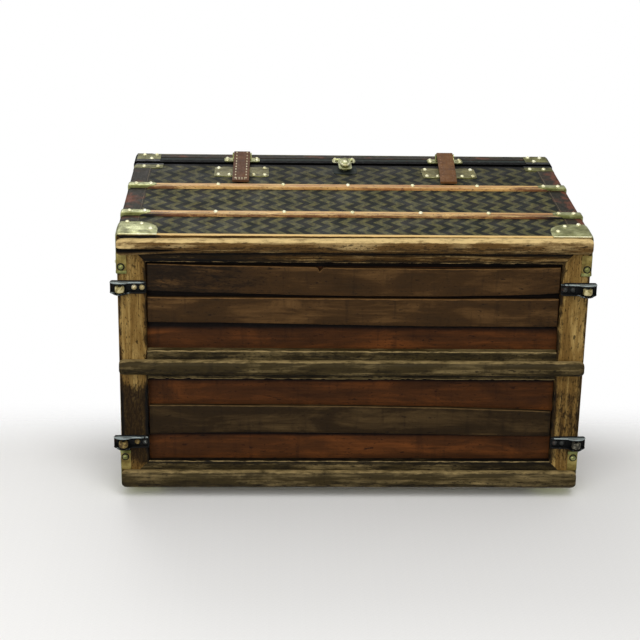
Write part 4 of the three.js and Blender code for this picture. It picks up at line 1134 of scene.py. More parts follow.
def make_runner(name, seed):
    """A runner: a flat foot, elliptical flanks and round ends, rubbed along its front."""
    node = f"runner_{name}"
    front = name == "front"
    low, high = box(node)
    width, height = high[1] - low[1], high[2] - low[2]
    middle, half = (low[1] + high[1]) / 2, width / 2
    section = runner_section(height, half, (1.1 if front else 3) * MM)
    x, z = section.T
    share = np.linspace(0, np.pi, 170)
    stations = low[0] + (high[0] - low[0]) * (0.5 - 0.5 * np.cos(share))
    ease = np.clip(np.minimum(stations - low[0], high[0] - stations) / (11 * MM), 0, 1)
    shrink = 0.64 + 0.36 * np.sqrt(1 - (1 - ease) ** 2)
    pivot = np.array([0, height * 0.8])
    sections = (section - pivot) * shrink[:, None, None] + pivot
    at = stations[:, None]
    split = np.clip((-0.315 - at) / 0.11, 0, 1) * front
    groove = np.exp(-((x - 7 * MM) / (1.1 * MM + 0.9 * MM * split)) ** 2)
    crack = np.clip(split * 6, 0, 1) * groove * (z < height - 5 * MM)
    opened = 4.5 * MM * split**1.2 * np.clip((x - 7 * MM) / (2 * MM), 0, 1)
    if front:
        rubbed = np.clip((-x - 6.5 * MM) / (4 * MM), 0, 1) * np.clip((17 * MM - z) / (4 * MM), 0, 1)
        ends = np.clip((np.abs(at) - 0.36) / 0.05, 0, 1)
        bleached = np.where(at < 0, 0.75, 0.2)
        wear = np.maximum(0.9 * rubbed, bleached * ends * (x < 6 * MM))
        soil_and_shade = 0.7 * np.clip((x + 6 * MM) / (8 * MM), 0, 1) * (1 - 0.6 * ends)
        # Painted shadow: black along the top of the front flank beneath both front corner irons.
        corner_shadow = (x < 0) * np.clip((z - 11 * MM) / (3 * MM), 0, 1)
        soil_and_shade = soil_and_shade + 4 * corner_shadow * np.clip((np.abs(at) - 0.352) / 0.003, 0, 1)
        opened = opened + 2.4 * MM * np.clip((-0.13 - at) / 0.25, 0, 1) \
            * np.clip(x / (12 * MM), 0, 1)
    else:
        wear = 0.8 * np.clip((-x - half + 5.5 * MM) / (4 * MM), 0, 1)
        soil_and_shade = 0.6 * np.clip((x + 4 * MM) / (6 * MM), 0, 1)
    set_back = {"front": 3.4 - 6.6 * at, "middle": 4.0, "back": 0.0}[name] * MM

    def worn(points):
        """Points of the flanks moved in by waves, set back at the front and split open."""
        depth = ripple(points, 0.06, seed + 30) * 0.5 + ripple(points, 0.016, seed + 40) * 0.35
        away = np.clip((z - 1 * MM) / (5 * MM), 0, 1) * (z < height - 1.4 * MM)
        moved = points.copy()
        side = np.sign(points[..., 1] - middle)
        moved[..., 1] -= side * np.clip(depth, 0, 1) * away * 0.9 * MM
        moved[..., 1] += set_back * np.clip(0.5 - x / width, 0, 1) + opened
        moved[..., 2] += crack * (3 + 6 * split) * MM
        return moved

    bar(node, lengthwise(stations, middle, low[2]), sections,
        finishes["log" if front else "grey"], (2.3 * seed, 0.31 * seed), worn,
        wear * (1 - crack), soil_and_shade + 3.4 * crack)


# Each board's width and bow, how far its front and back edges stray at the five places, all
# in millimetres, and its finish.
BOARDS = {
    "front": (55, 5, (-1, -1, 2.5, 2.5, 2), (-5, -3, 0, -0.5, -4), "board"),
    "second": (53, 2, (0, 0, 0, 0, 0), (-5.5, -5, -2.5, 0, 0), "board"),
    "rear": (53, -4, (-4, -2, -1, 3, 6), (0, -1, 0, 3, 3.5), "dull"),
}
BOARD_PLACES = np.array([-0.347, -0.225, 0.002, 0.228, 0.351])


def make_board(name, seed):
    """A thin bottom board whose two edges follow cubics along its length."""
    node = f"bottom_board_{name}"
    width, bow, *edges, finish = BOARDS[name]
    width, bow = width * MM, bow * MM
    low, high = box(node)
    thick, level = high[2] - low[2], (low[2] + high[2]) / 2
    section = dense(rounded(width, thick, 1.2 * MM, 3), 3 * MM)
    x, z = section.T
    # Rubbed pale edges on the face, strongest on the front edge, whose pale line is partly a
    # painted highlight.
    under = eased_edge(z + thick / 2, 3 * MM)
    wear = under * (1.1 * eased_edge(width / 2 + x, 3.2 * MM)
                    + 0.4 * eased_edge(width / 2 - x, 3 * MM))
    stations = np.linspace(low[0], high[0], 220)
    share = 2 * (stations - low[0]) / (high[0] - low[0]) - 1
    foot = low[1] + width / 2 if bow > 0 else high[1] - width / 2
    soil_and_shade = 0.35 * np.clip((np.abs(share) - 0.7) / 0.3, 0, 1)[:, None] \
        + 0.3 * eased_edge(width / 2 - np.abs(x), 8 * MM)
    if name == "front":
        soil_and_shade = soil_and_shade + 0.9 * np.clip((-0.3 - share) / 0.3, 0, 1)[:, None]

    def notched(points):
        """Points moved to both cubics and by waves, with a notch in the front board."""
        moved = points.copy()
        dip = np.clip(ripple(points, 0.09, seed + 60), 0, 1)
        moved[..., 2] += dip * (points[..., 2] < level) * 0.6 * MM
        for edge, side in zip(edges, (0.5 - x / width, 0.5 + x / width)):
            curve = np.polyfit(BOARD_PLACES, edge, 3)
            moved[..., 1] += np.polyval(curve, points[..., 0]) * side * MM
        moved[..., 1] += ripple(points * [1, 0, 0], 0.12, seed + 70) * 0.4 * MM
        if name == "front":
            near = np.exp(-((points[..., 0] + 0.062) / 0.003) ** 2)
            moved[..., 1] += near * (x < -20 * MM) * 9 * MM
        return moved

    bar(node, lengthwise(stations, foot + bow / 2 * (1 - share**2), level), section,
        finishes[finish], (1.7 * seed, 0.23 * seed), notched, wear, soil_and_shade)


def bent_spine(path, way, y):
    """A path of reach and height stood at one y on a side, and its outward normals."""
    along = np.gradient(path, axis=0)
    spine = np.stack([way * path[:, 0], np.full(len(path), y), path[:, 1]], -1)
    return spine, unit(np.stack([-way * along[:, 1], 0 * along[:, 0], along[:, 0]], -1))


# Finishes of a corner iron, and of a castor's fork, in the order of their slots.
IRON_FINISHES = ["brass", "bright", "iron", "tab"]
FORK_FINISHES = ["iron", "worn_iron", "rivet", "rough_iron", "tan_roller"]


def corner_nails(skin, end, side, proud, spots, look, kind=0):
    """A nail on both faces of a corner for every spot, which is its reach and its height."""
    way, turn = SIDES[side], ENDS[end]
    for reach, height in spots:
        studs(skin, [way * (HALF_X - reach), MID_Y + turn * (HALF_Y + proud), height],
              turn * BACK, look.nail_radius, kind=kind)
        studs(skin, [way * (HALF_X + proud), MID_Y + turn * (HALF_Y - reach), height],
              way * RIGHT, look.nail_radius, kind=kind)


def corner_wings(skin, turn, foot_finish):
    """Both wings of an iron: a top edge on a quadratic curve, cushioned, with a rolled foot."""
    length, height, flat, toe = 72 * MM, 60 * MM, 40 * MM, 16 * MM
    run = np.linspace(length, IRON_RADIUS, 22)
    angle = np.linspace(0, np.pi / 2, 8)[1:-1]
    arc = np.stack([np.sin(angle), np.cos(angle)], -1)
    plan = np.concatenate([np.stack([-run, 0 * run], -1), IRON_RADIUS * (arc - 1),
                           np.stack([0 * run, -run[::-1]], -1)])
    away = np.concatenate([np.tile([[0, 1.0]], (len(run), 1)), arc,
                           np.tile([[1.0, 0]], (len(run), 1))])
    reach = np.concatenate([run, np.full(len(arc), IRON_RADIUS), run[::-1]])
    share = np.sqrt(np.clip((length - reach) / (length - flat), 0, 1))
    top = toe * (1 - share) ** 2 + 2 * (height - toe) * share * (1 - share) + height * share**2
    level = np.array([0, 0.02, 0.07, 0.16, 0.32, 0.5, 0.68, 0.84, 0.93, 0.98, 1])
    cushion = (1 - np.abs(2 * level - 1) ** 5) * (1 - (reach[:, None] / length) ** 8)
    front = 0.6 * MM + 2.0 * MM * cushion
    thick = np.concatenate([front, 0 * front], 1)
    corner = plan + np.array([HALF_X + 0.3 * MM, HALF_Y + 0.3 * MM])
    flatwise = (corner[:, None] + away[:, None] * thick[..., None]) * turn + [0, MID_Y]
    levels = np.concatenate([level, level[::-1]])
    z = FLOOR_Z - IRON_LAP + (top[:, None] + IRON_LAP) * levels
    skin.grid(capped(np.concatenate([flatwise, z[..., None]], -1)))
    foot = ((corner + away * 1.2 * MM) * turn + [0, MID_Y])[:len(run) + 1]
    foot = np.concatenate([foot, np.full((len(foot), 1), FLOOR_Z - IRON_LAP + 0.8 * MM)], 1)
    away = away[:len(foot)] * turn
    sweep(skin, foot, np.concatenate([away, np.zeros((len(foot), 1))], 1), UP,
          1.1 * MM * circle(8), kind=IRON_FINISHES.index(foot_finish))


def corner_tab(skin, end, side):
    """The strip bent under the stile by a quarter circle, with its ridge and its bolt."""
    low, high = box(f"corner_{end}_{side}")
    way, turn = SIDES[side], ENDS[end]
    outer = max(abs(low[0]), abs(high[0]))
    y = turn * (HALF_Y - 53 * MM) + MID_Y
    face, bottom, bend = outer - 0.8 * MM, low[2] + 0.8 * MM, 2.5 * MM
    angle = np.linspace(0, np.pi / 2, 6)
    path = np.concatenate([
        [[face, FLOOR_Z + 14 * MM], [face, bottom + bend + 4 * MM]],
        np.stack([face - bend + bend * np.cos(angle), bottom + bend - bend * np.sin(angle)], -1),
        [[outer - 10 * MM, bottom], [outer - 18.9 * MM, bottom]]])
    spine, out = bent_spine(path, way, y)
    sweep(skin, spine, BACK, out, rounded(38 * MM, 1.6 * MM, 0.6 * MM, 2),
          kind=IRON_FINISHES.index("tab"))
    ridge = spine[2:] + [0, -turn * 17 * MM, -0.2 * MM]
    sweep(skin, ridge, BACK, out[2:], rounded(6 * MM, 2.4 * MM, 1 * MM, 3))
    bolt = np.array([way * (outer - 9 * MM), y - turn * 7 * MM, low[2]])
    studs(skin, bolt, -UP, 7.2 * MM, 0.7 * MM, rounds=3, sides=20,
          kind=IRON_FINISHES.index("iron"))
    studs(skin, bolt - 0.4 * MM * UP, -UP, 5.2 * MM, 3.8 * MM, sides=20, rounds=7)


def make_corners(look):
    """Brass corner irons with a cushioned wing on each face, bolted tabs and nails."""
    nails = [(15 * MM, 51 * MM), (42 * MM, 40 * MM), (59 * MM, 10 * MM)]
    nails = [(reach, FLOOR_Z + 0.3 * MM + height) for reach, height in nails]
    for end, side in CORNERS:
        skin = Skin()
        # The front irons' rolled feet take the near white brass, a painted highlight along the
        # lower lip.
        corner_wings(skin, np.array([SIDES[side], ENDS[end]]),
                     "bright" if end == "front" else "brass")
        corner_tab(skin, end, side)
        corner_nails(skin, end, side, 2.4 * MM, nails, look, IRON_FINISHES.index("bright"))
        node = f"corner_{end}_{side}"
        skin.piece(f"{node}_brass", "body", "aged_brass",
                   *(finishes[name] for name in IRON_FINISHES), replaces=[node])


def jaw(skin, pin, way, face, top, inner, outer):
    """One flange of a castor fork: a wide bowl under the pin, whose rim stands above its
    lowest point by the distance from the pin to the power 2.5, shallow inwards, flared."""
    start, bowl = 9.4 * MM, 14 * MM
    front = face < 0
    x = np.concatenate([np.linspace(inner, abs(pin[0]) - bowl, 12)[:-1],
                        np.linspace(abs(pin[0]) - bowl, outer, 32)])
    away = x - abs(pin[0])
    knee = inner - abs(pin[0]) + np.array([0, 7 * MM])
    rim = np.interp(away, [*knee, 0], [top - 1.6 * MM, 17 * MM, 14 * MM])
    lowest = pin[2] - (5.4 if front else 4) * MM
    depth = top - np.minimum(rim, lowest + 11 * MM * (np.abs(away) / bowl) ** 2.5)
    depth = depth * np.sqrt(1 - (1 - np.clip((outer - x + 0.2 * MM) / (5 * MM), 0, 1)) ** 2)
    reach = depth[:, None] * np.linspace(0, 1, 8)
    flare = (3.4 if front else 0.8) * MM * (reach / (19 * MM)) ** 2
    inside, outside = (np.stack([flare + half, reach], -1) for half in (-1.1 * MM, 1.1 * MM))
    section = np.concatenate([inside, outside[:, ::-1]], 1)
    wear = eased_edge(outer - x, 85 * MM)[:, None] * (1.7 if front else 0.3)
    sweep(skin, lengthwise(way * x, pin[1] + face * start, top), face * BACK, -UP, section, wear)
    lip = np.stack([way * x, pin[1] + face * (start + flare[:, -1]), top - depth], -1)
    lift = unit(np.cross(unit(np.gradient(lip, axis=0)), BACK))
    sweep(skin, lip, BACK, lift, circle(8) * [1.35 * MM, 1.25 * MM], wear * 1.3)


# The finishes of each corner's castor: its outer and inner rivet and its roller, the back rollers
# darker.
CASTOR_TONES = {
    ("front", "left"): ("rivet", "rivet", "steel"),
    ("front", "right"): ("rough_iron", "rough_iron", "steel"),
    ("back", "left"): ("tan_roller", "rough_iron", "tan_roller"),
    ("back", "right"): ("rough_iron", "rough_iron", "grey_roller"),
}


def make_castors():
    """Iron castor forks with flared jaws, pins and domed rivets, and their metal rollers."""
    for end, side in CORNERS:
        way = SIDES[side]
        fork, roller = f"castor_fork_{end}_{side}", f"castor_roller_{end}_{side}"
        roller_low, roller_high = box(roller)
        pin = (roller_low + roller_high) / 2
        low, high = box(fork)
        outer, inner = max(abs(low[0]), abs(high[0])), min(abs(low[0]), abs(high[0]))
        top, half_plate, bend = high[2], 1.1 * MM, 4 * MM
        angle = np.linspace(0, 1.1, 6)
        lip = np.stack([outer - 4.4 * MM + bend * np.sin(angle),
                        top - half_plate - bend + bend * np.cos(angle)], -1)
        flat = np.stack([inner + np.array([0.2, 1, 3, 6, 11]) * MM,
                         np.full(5, top - half_plate)], -1)
        spine, out = bent_spine(np.concatenate([flat, lip]), way, pin[1])
        widths = 25.6 * MM * np.array([0.5, 0.68, 0.86, 0.98, 1, 1, 1, 0.98, 0.95, 0.9, 0.84])
        section = np.stack([rounded(width, 2.1 * MM, 0.9 * MM, 3) for width in widths])
        skin = Skin()
        sweep(skin, spine, BACK, out, section)
        for face in (-1, 1):
            jaw(skin, pin, way, face, top - 0.4 * MM, inner + 0.5 * MM, outer - 0.5 * MM)
            studs(skin, pin + face * 11 * MM * BACK, face * BACK, 3.6 * MM, 1.4 * MM,
                  FORK_FINISHES.index("worn_iron"))
        turned(skin, pin - 11.4 * MM * BACK, BACK,
               [(0, 0), (2.5 * MM, 0), (2.5 * MM, 22.8 * MM), (0, 22.8 * MM)], 16)
        *rivets, metal = CASTOR_TONES[end, side]
        for reach, rivet in zip((30 * MM, 44 * MM), rivets):
            studs(skin, [way * (HALF_X - reach), pin[1], top - 2 * MM], -UP, 5 * MM, 4.8 * MM,
                  FORK_FINISHES.index(rivet), sides=20, rounds=7)
        skin.piece(f"{fork}_iron", "body", "castor_iron",
                   *(finishes[name] for name in FORK_FINISHES), replaces=[fork])
        skin = Skin()
        hub, half, radius = 2.7 * MM, (roller_high[1] - roller_low[1]) / 2 - 2.7 * MM, pin[2]
        bow = np.linspace(-1, 1, 9)
        tread = np.stack([radius - 0.5 * MM * np.abs(bow) ** 3, bow * (half - 0.4 * MM)], -1)
        profile = np.concatenate([[[hub, -half], [radius - 1 * MM, -half]], tread,
                                  [[radius - 1 * MM, half], [hub, half], [hub, -half]]])
        turned(skin, pin, BACK, profile, 36)
        skin.piece(f"{roller}_metal", f"roller_{end}_{side}", "worn_steel", finishes[metal],
                   replaces=[roller])


def nail_spots(skin, spots, y, look, way=-1.0, height=NAIL_HEIGHT):
    """Nails on a front or back facing plate, each spot an x and a z."""
    studs(skin, [[x, y, z] for x, z in spots], way * BACK, look.nail_radius, height)


def make_rim(look):
    """Body rim with brass caps, the lid's black edging with its caps, and their nails."""
    def past_walls(centre):
        """How far a place lies outside the case's walls, in plan."""
        return max(abs(centre.x) - HALF_X, abs(centre.y - MID_Y) - HALF_Y)

    def body_caps(centre):
        """One on the caps of the body's rim, below its top edge, else nought."""
        return int(past_walls(centre) > -11.2 * MM and centre.z < RIM_Z + 2 * MM)

    def lid_caps(centre):
        """One on the caps of the lid's edging, within 51 mm of a corner, else nought."""
        near = HALF_X - abs(centre.x) < 51 * MM and HALF_Y - abs(centre.y - MID_Y) < 51 * MM
        return int(past_walls(centre) > 2.5 * MM and near)

    # Both finishes go black between rim and lid: painted shadow in the gap.
    metals = [finishes["black"], finishes["cap"]]
    eased("body_rim", "body_rim_metal", metals, 0.3 * MM, body_caps)
    eased("lid_edge", "lid_edge_metal", metals, 0.4 * MM, lid_caps)
    skins = {"body": Skin(), "lid": Skin()}
    for end, side in CORNERS:
        corner_nails(skins["body"], end, side, 1.5 * MM,
                     [(20 * MM, 473 * MM), (48 * MM, 473 * MM)], look)
        corner_nails(skins["lid"], end, side, 3.4 * MM,
                     [(16 * MM, 555 * MM), (41 * MM, 555 * MM), (32 * MM, 526 * MM)], look)
    skins["body"].piece("rim_nails", "body", "aged_brass", finishes["bright"])
    skins["lid"].piece("edge_nails", "lid", "aged_brass", finishes["bright"])


def make_plates():
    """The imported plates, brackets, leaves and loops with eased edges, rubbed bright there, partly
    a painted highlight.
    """
    metal = [finishes["brass"], finishes["bright"]]
    for side in SIDES:
        for node in (f"strap_bracket_{side}", f"keeper_plate_{side}", f"hinge_body_{side}",
                     f"hinge_lid_{side}", f"handle_loop_{side}_front",
                     f"handle_loop_{side}_back"):
            tone = [finishes["olive"], finishes["brass"]] if "keeper" in node else metal
            eased(node, f"{node}_brass", tone, PLATE_EASE, edge_finish=1)
    for node in ("hasp_plate", "hasp"):
        eased(node, f"{node}_brass", metal, PLATE_EASE, edge_finish=1)
    eased("lock_plate", "lock_plate_iron", [finishes["black"]], PLATE_EASE)


def side_nails(side, skins, look):
    """Nails of one side's keeper, bracket, hinge leaves and handle loops."""
    low, high = box(f"keeper_plate_{side}")
    outer = [low[0] + 8 * MM, high[0] - 8 * MM]
    inner = [low[0] + 30 * MM, high[0] - 30 * MM]
    spots = [(x, z) for x in outer for z in (low[2] + 10 * MM, high[2] - 10 * MM)]
    nail_spots(skins["body"], spots + [(x, low[2] + 9 * MM) for x in inner], low[1], look)
    low, high = box(f"strap_bracket_{side}")
    spots = [(x, z) for x in (low[0] + 6 * MM, high[0] - 6 * MM)
             for z in (515.5 * MM, 527.5 * MM)]
    nail_spots(skins["lid"], spots, box("hasp_plate")[1][1] - 1.6 * MM, look)
    low, high = box(f"hinge_body_{side}")
    middle = (low[0] + high[0]) / 2
    spots = [(middle + x * MM, z * MM) for x in (-20, 20) for z in (450, 478)]
    spots.append((middle, 464 * MM))
    nail_spots(skins["body"], spots, MID_Y + HALF_Y + 2.3 * MM, look, 1.0)
    spots = [(middle + x * MM, 532 * MM) for x in (-20, 0, 20)]
    nail_spots(skins["lid"], spots, MID_Y + HALF_Y + 4.6 * MM, look, 1.0)
    for end in ENDS:
        low, high = box(f"handle_loop_{side}_{end}")
        y, way = (low[1] + high[1]) / 2, SIDES[side]
        places = [[way * (HALF_X + 2.3 * MM), y + along * MM, HANDLE_Z + up * MM]
                  for along in (-11, 11) for up in (-16, 16)]
        studs(skins["body"], places, way * RIGHT, look.nail_radius * 0.9, 2 * MM)


def make_fittings(look):
    """Strap brackets and keepers, the hasp with its plates, the hinges and handle loops."""
    make_plates()
    skins = {"body": Skin(), "lid": Skin()}
    for side in SIDES:
        side_nails(side, skins, look)
    low, high = box("hasp_plate")
    face = high[1] - 1.6 * MM
    spots = [(x, z) for x in (low[0] + 6 * MM, high[0] - 6 * MM)
             for z in (low[2] + 8 * MM, high[2] - 6 * MM)]
    nail_spots(skins["lid"], spots, face, look)
    nail_spots(skins["lid"], [(0, high[2] - 8 * MM)], face, look, height=4 * MM)
    for body in skins:
        skins[body].piece(f"fitting_nails_{body}", body, "aged_brass", finishes["bright"])

    low, high = box("hasp")
    place = [(low[0] + high[0]) / 2, low[1] + 4 * MM, (low[2] + 501 * MM) / 2 - 2 * MM]
    rings = [(1, 0), (1, 1.5 * MM), (0.94, 2.6 * MM), (0.82, 2.2 * MM), (0.76, 2.6 * MM),
             (0.6, 3.6 * MM), (0.3, 4.2 * MM)]
    skin = plate(Skin(), circle(40) * [9.5 * MM, 24 * MM], place, rings)
    skin.piece("hasp_boss", "hasp_flap", "aged_brass", finishes["bright"])


def make_strap(side, look):
    """A strap: a loop round its bar, then a fall of linear height and y as the 0.8 power."""
    way = SIDES[side]
    section = rounded(33 * MM, 4.2 * MM, 1.3 * MM, 3)
    wear = (np.abs(section[:, 0]) > 14.5 * MM) * 1.0
    bar_y, bar_z = MID_Y - HALF_Y - 12 * MM, 530 * MM
    low, high = box(f"strap_{side}")
    roll = (4.9 if side == "left" else 5.3) * MM
    turn = np.linspace(-0.35 * np.pi, np.pi, 26)
    loop = np.stack([bar_y + roll * np.cos(turn), bar_z + roll * np.sin(turn)], -1)
    share = np.linspace(0, 1, 30)[1:]
    bottom, foot_y = low[2] + 0.5 * MM, MID_Y - HALF_Y - 6.9 * MM
    wave = 0.8 * MM * np.sin(share * np.pi * 2)
    fall = np.stack([(bar_y - roll) + (foot_y - bar_y + roll) * share**0.8 + wave,
                     bar_z + (bottom - bar_z) * share], -1)
    path = np.concatenate([loop, fall])
    lean = np.clip((bar_z - path[:, 1]) / (bar_z - bottom), 0, 1) ** 1.2
    x = (low[0] + high[0]) / 2 - (9 if side == "right" else 1) * MM * lean
    spine = np.stack([x, path[:, 0], path[:, 1]], -1)
    along = unit(np.gradient(path, axis=0))
    out = np.stack([0 * x, along[:, 1], -along[:, 0]], -1)
    skin = Skin()
    sweep(skin, spine, RIGHT, out, section, wear, shift=(way, 0.4 * way))
    row, face = slice(22, -1), 2.15 * MM
    for offset in (-10.5 * MM, 10.5 * MM):
        stitches(skin, spine[row] + out[row] * face + offset * RIGHT, out[row],
                 2.8 * look.stitch_pitch, (7.6 * MM, 3 * MM, 0.9 * MM))
    for height in (6 * MM, 13 * MM):
        level = bottom + height
        y = np.interp(-level, -path[:, 1], path[:, 0]) - face
        ends = [[x[-1] - 11 * MM, y, level], [x[-1] + 11 * MM, y, level]]
        stitches(skin, ends, -BACK, 5.4 * MM, (2.8 * MM, 4 * MM, 0.9 * MM))
    leather, thread = ("strap", "thread") if side == "left" else ("tan", "faded")
    skin.piece(f"strap_{side}_leather", f"{side}_strap", "strap_leather", finishes[leather],
               finishes[thread], replaces=[f"strap_{side}"])


def make_handle(side, look):
    """A handle: an oval along two arms, quarter circles and a grip that swells as a bell."""
    way = SIDES[side]
    pin_x = way * (HALF_X + 12 * MM)
    span, drop, bend = 74 * MM, 46 * MM, 26 * MM
    angle = np.linspace(0, np.pi / 2, 10)
    arm = np.stack([np.full(5, -span), np.linspace(0, -drop + bend, 5)], -1)
    elbow = np.stack([-span + bend - bend * np.cos(angle),
                      -drop + bend - bend * np.sin(angle)], -1)[1:]
    grip = np.stack([np.linspace(-span + bend, 0, 10)[1:], np.full(9, -drop)], -1)
    half_path = np.concatenate([arm, elbow, grip])
    path = np.concatenate([half_path, half_path[-2::-1] * [-1, 1]])
    steps = np.linalg.norm(np.diff(path, axis=0), axis=1)
    share = np.concatenate([[0], np.cumsum(steps)]) / steps.sum() * 2 - 1
    swell = 1 + 0.12 * np.exp(-(share / 0.35) ** 2)
    oval = circle(20) * [7.2 * MM, 4.4 * MM]
    sections = oval * np.stack([0 * swell + 1, swell], -1)[:, None]
    spine = np.stack([np.full(len(path), pin_x), MID_Y + path[:, 0], HANDLE_Z + path[:, 1]], -1)
    along = unit(np.gradient(path, axis=0))
    across = np.stack([0 * share, -along[:, 1], along[:, 0]], -1)
    skin = Skin()
    sweep(skin, spine, across, way * RIGHT, sections)
    eye = [(0, 0), (6.6 * MM, 0), (7.4 * MM, 1 * MM), (7.4 * MM, 13.6 * MM),
           (6.6 * MM, 14.6 * MM), (0, 14.6 * MM)]
    for end in ENDS.values():
        turned(skin, [pin_x, MID_Y + end * span - 7.3 * MM, HANDLE_Z], BACK, eye, 24)
    row = slice(4, -4)
    for edge in (across[row], -across[row]):
        stitches(skin, spine[row] + edge * 5.2 * MM + way * 3.2 * MM * RIGHT,
                 edge + way * RIGHT, look.stitch_pitch)
    skin.piece(f"handle_{side}_leather", f"{side}_handle", "strap_leather",
               finishes["strap"], finishes["thread"], replaces=[f"handle_{side}"])


def make_leather(look):
    """Stitched lid straps round their bars, and the two end handles."""
    for side in SIDES:
        make_strap(side, look)
        make_handle(side, look)


# Stage


def sheet_finish():
    """Pale floor that is seen from one side only and fades out into the white behind it."""
    f = Finish("pale_floor")
    f.done(f.ramp(f.noise((6, 6, 6), detail=3), (0.3, (232, 231, 229)),
                  (0.7, (237, 236, 234))), 0.85)
    clear = f.nodes.new("ShaderNodeBsdfTransparent")
    path = f.nodes.new("ShaderNodeLightPath")
    geometry = f.nodes.new("ShaderNodeNewGeometry")
    kept = f.math("MULTIPLY", f.math("SUBTRACT", 1.0, geometry.outputs["Backfacing"]),
                  f.mark("wear"))
    kept = f.math("MULTIPLY", kept, f.math("SUBTRACT", 1.0, path.outputs["Is Shadow Ray"]))
    kept = f.math("MULTIPLY", kept, path.outputs["Is Camera Ray"])
    mix = f.add("ShaderNodeMixShader", {0: kept, 1: clear.outputs[0], 2: f.shader.outputs[0]})
    output = next(node for node in f.nodes if node.type == "OUTPUT_MATERIAL")
    f.links.new(mix.outputs[0], output.inputs[0])
    return f.material


def stage_sheet(name, points, kept, finish):
    """One flat sheet of the stage with its fade stored at every point."""
    mesh = bpy.data.meshes.new(name)
    number = np.arange(kept.size).reshape(kept.shape)
    quads = np.stack([number[:-1, :-1], number[1:, :-1], number[1:, 1:], number[:-1, 1:]], -1)
    mesh.from_pydata(points.reshape(-1, 3).tolist(), [], quads.reshape(-1, 4).tolist())
    mesh.uv_layers.new(name="Map")
    fade = mesh.attributes.new("wear", "FLOAT", "POINT")
    fade.data.foreach_set("value", kept.astype(np.float32).ravel())
    mesh.materials.append(finish)
    item = bpy.data.objects.new(name, mesh)
    bpy.context.scene.collection.objects.link(item)


def make_world(look):
    """White where the camera sees it, and a dimmer even light on the trunk."""
    world = bpy.data.worlds.new("studio")
    bpy.context.scene.world = world
    world.use_nodes = True
    nodes, links = world.node_tree.nodes, world.node_tree.links
    nodes.clear()
    path = nodes.new("ShaderNodeLightPath")
    both = nodes.new("ShaderNodeMath")
    both.operation = "MAXIMUM"
    links.new(path.outputs["Is Camera Ray"], both.inputs[0])
    links.new(path.outputs["Is Transmission Ray"], both.inputs[1])
    blend = nodes.new("ShaderNodeMixShader")
    links.new(both.outputs[0], blend.inputs[0])
    for number, strength in ((1, look.ambient), (2, 1.0)):
        light = nodes.new("ShaderNodeBackground")
        light.inputs[0].default_value = (1, 1, 1, 1)
        light.inputs[1].default_value = strength
        links.new(light.outputs[0], blend.inputs[number])
    output = nodes.new("ShaderNodeOutputWorld")
    links.new(blend.outputs[0], output.inputs[0])


def make_floors():
    """Floor behind the trunk's back as it lies, and floor under its castors, both faded."""
    finish = sheet_finish()
    x, z = np.meshgrid(np.linspace(1.6, -1.6, 161), np.linspace(-1.3, 0.475, 90))
    points = np.stack([x, np.full_like(x, packed_box[1][1] + 1 * MM), z], -1)
    kept = smooth((1.5 - np.abs(x)) / 0.8) * smooth((0.47 - z) / 0.3) * smooth((z + 1.25) / 0.8)
    stage_sheet("floor_behind", points, kept, finish)
    x, y = np.meshgrid(np.linspace(2.2, -2.2, 111), np.linspace(-2.2, 2.2, 111))
    kept = smooth((2.1 - np.hypot(x, y)) / 1.2)
    stage_sheet("floor_under", np.stack([x, y, 0 * x], -1), kept, finish)


# Each lamp's place, the side of its square and its power.
LAMPS = {
    "key": ((0.5, -2.5, -1.6), 1.6, 38.0),
    "fill": ((-1.5, -1.2, -2.6), 1.8, 36.0),
    "top": ((-0.6, -2.0, 2.5), 2.0, 34.0),
    "rear": ((0.8, 2.6, 1.8), 2.0, 30.0),
}
LAMP_AIM = Vector((0, 0, 0.3))
# The camera as fitted to the photograph: place, turn in degrees and lens in millimetres.
CAMERA_PLACE = (-0.1664, -1.1596, -2.8598)
CAMERA_TURN = (159.55, 1.736, -0.969)
CAMERA_LENS = 95.625


def make_stage(look):
    """Floors, soft room light, four lamps and the camera at the photograph's angle."""
    make_floors()
    make_world(look)
    scene = bpy.context.scene
    for name, (place, size, power) in LAMPS.items():
        data = bpy.data.lights.new(f"{name}_lamp", "AREA")
        data.size = size
        data.energy = power * look.light
        lamp = bpy.data.objects.new(f"{name}_lamp", data)
        scene.collection.objects.link(lamp)
        lamp.location = place
        lamp.rotation_euler = (LAMP_AIM - lamp.location).to_track_quat("-Z", "Y").to_euler()

    data = bpy.data.cameras.new("photo_view")
    data.sensor_width = 36.0
    data.lens = CAMERA_LENS
    data.clip_start, data.clip_end = 0.05, 100.0
    camera = bpy.data.objects.new("photo_view", data)
    camera.location = CAMERA_PLACE
    camera.rotation_euler = [math.radians(angle) for angle in CAMERA_TURN]
    scene.collection.objects.link(camera)
    scene.camera = camera
    scene.view_settings.view_transform = "Standard"


# Add-on


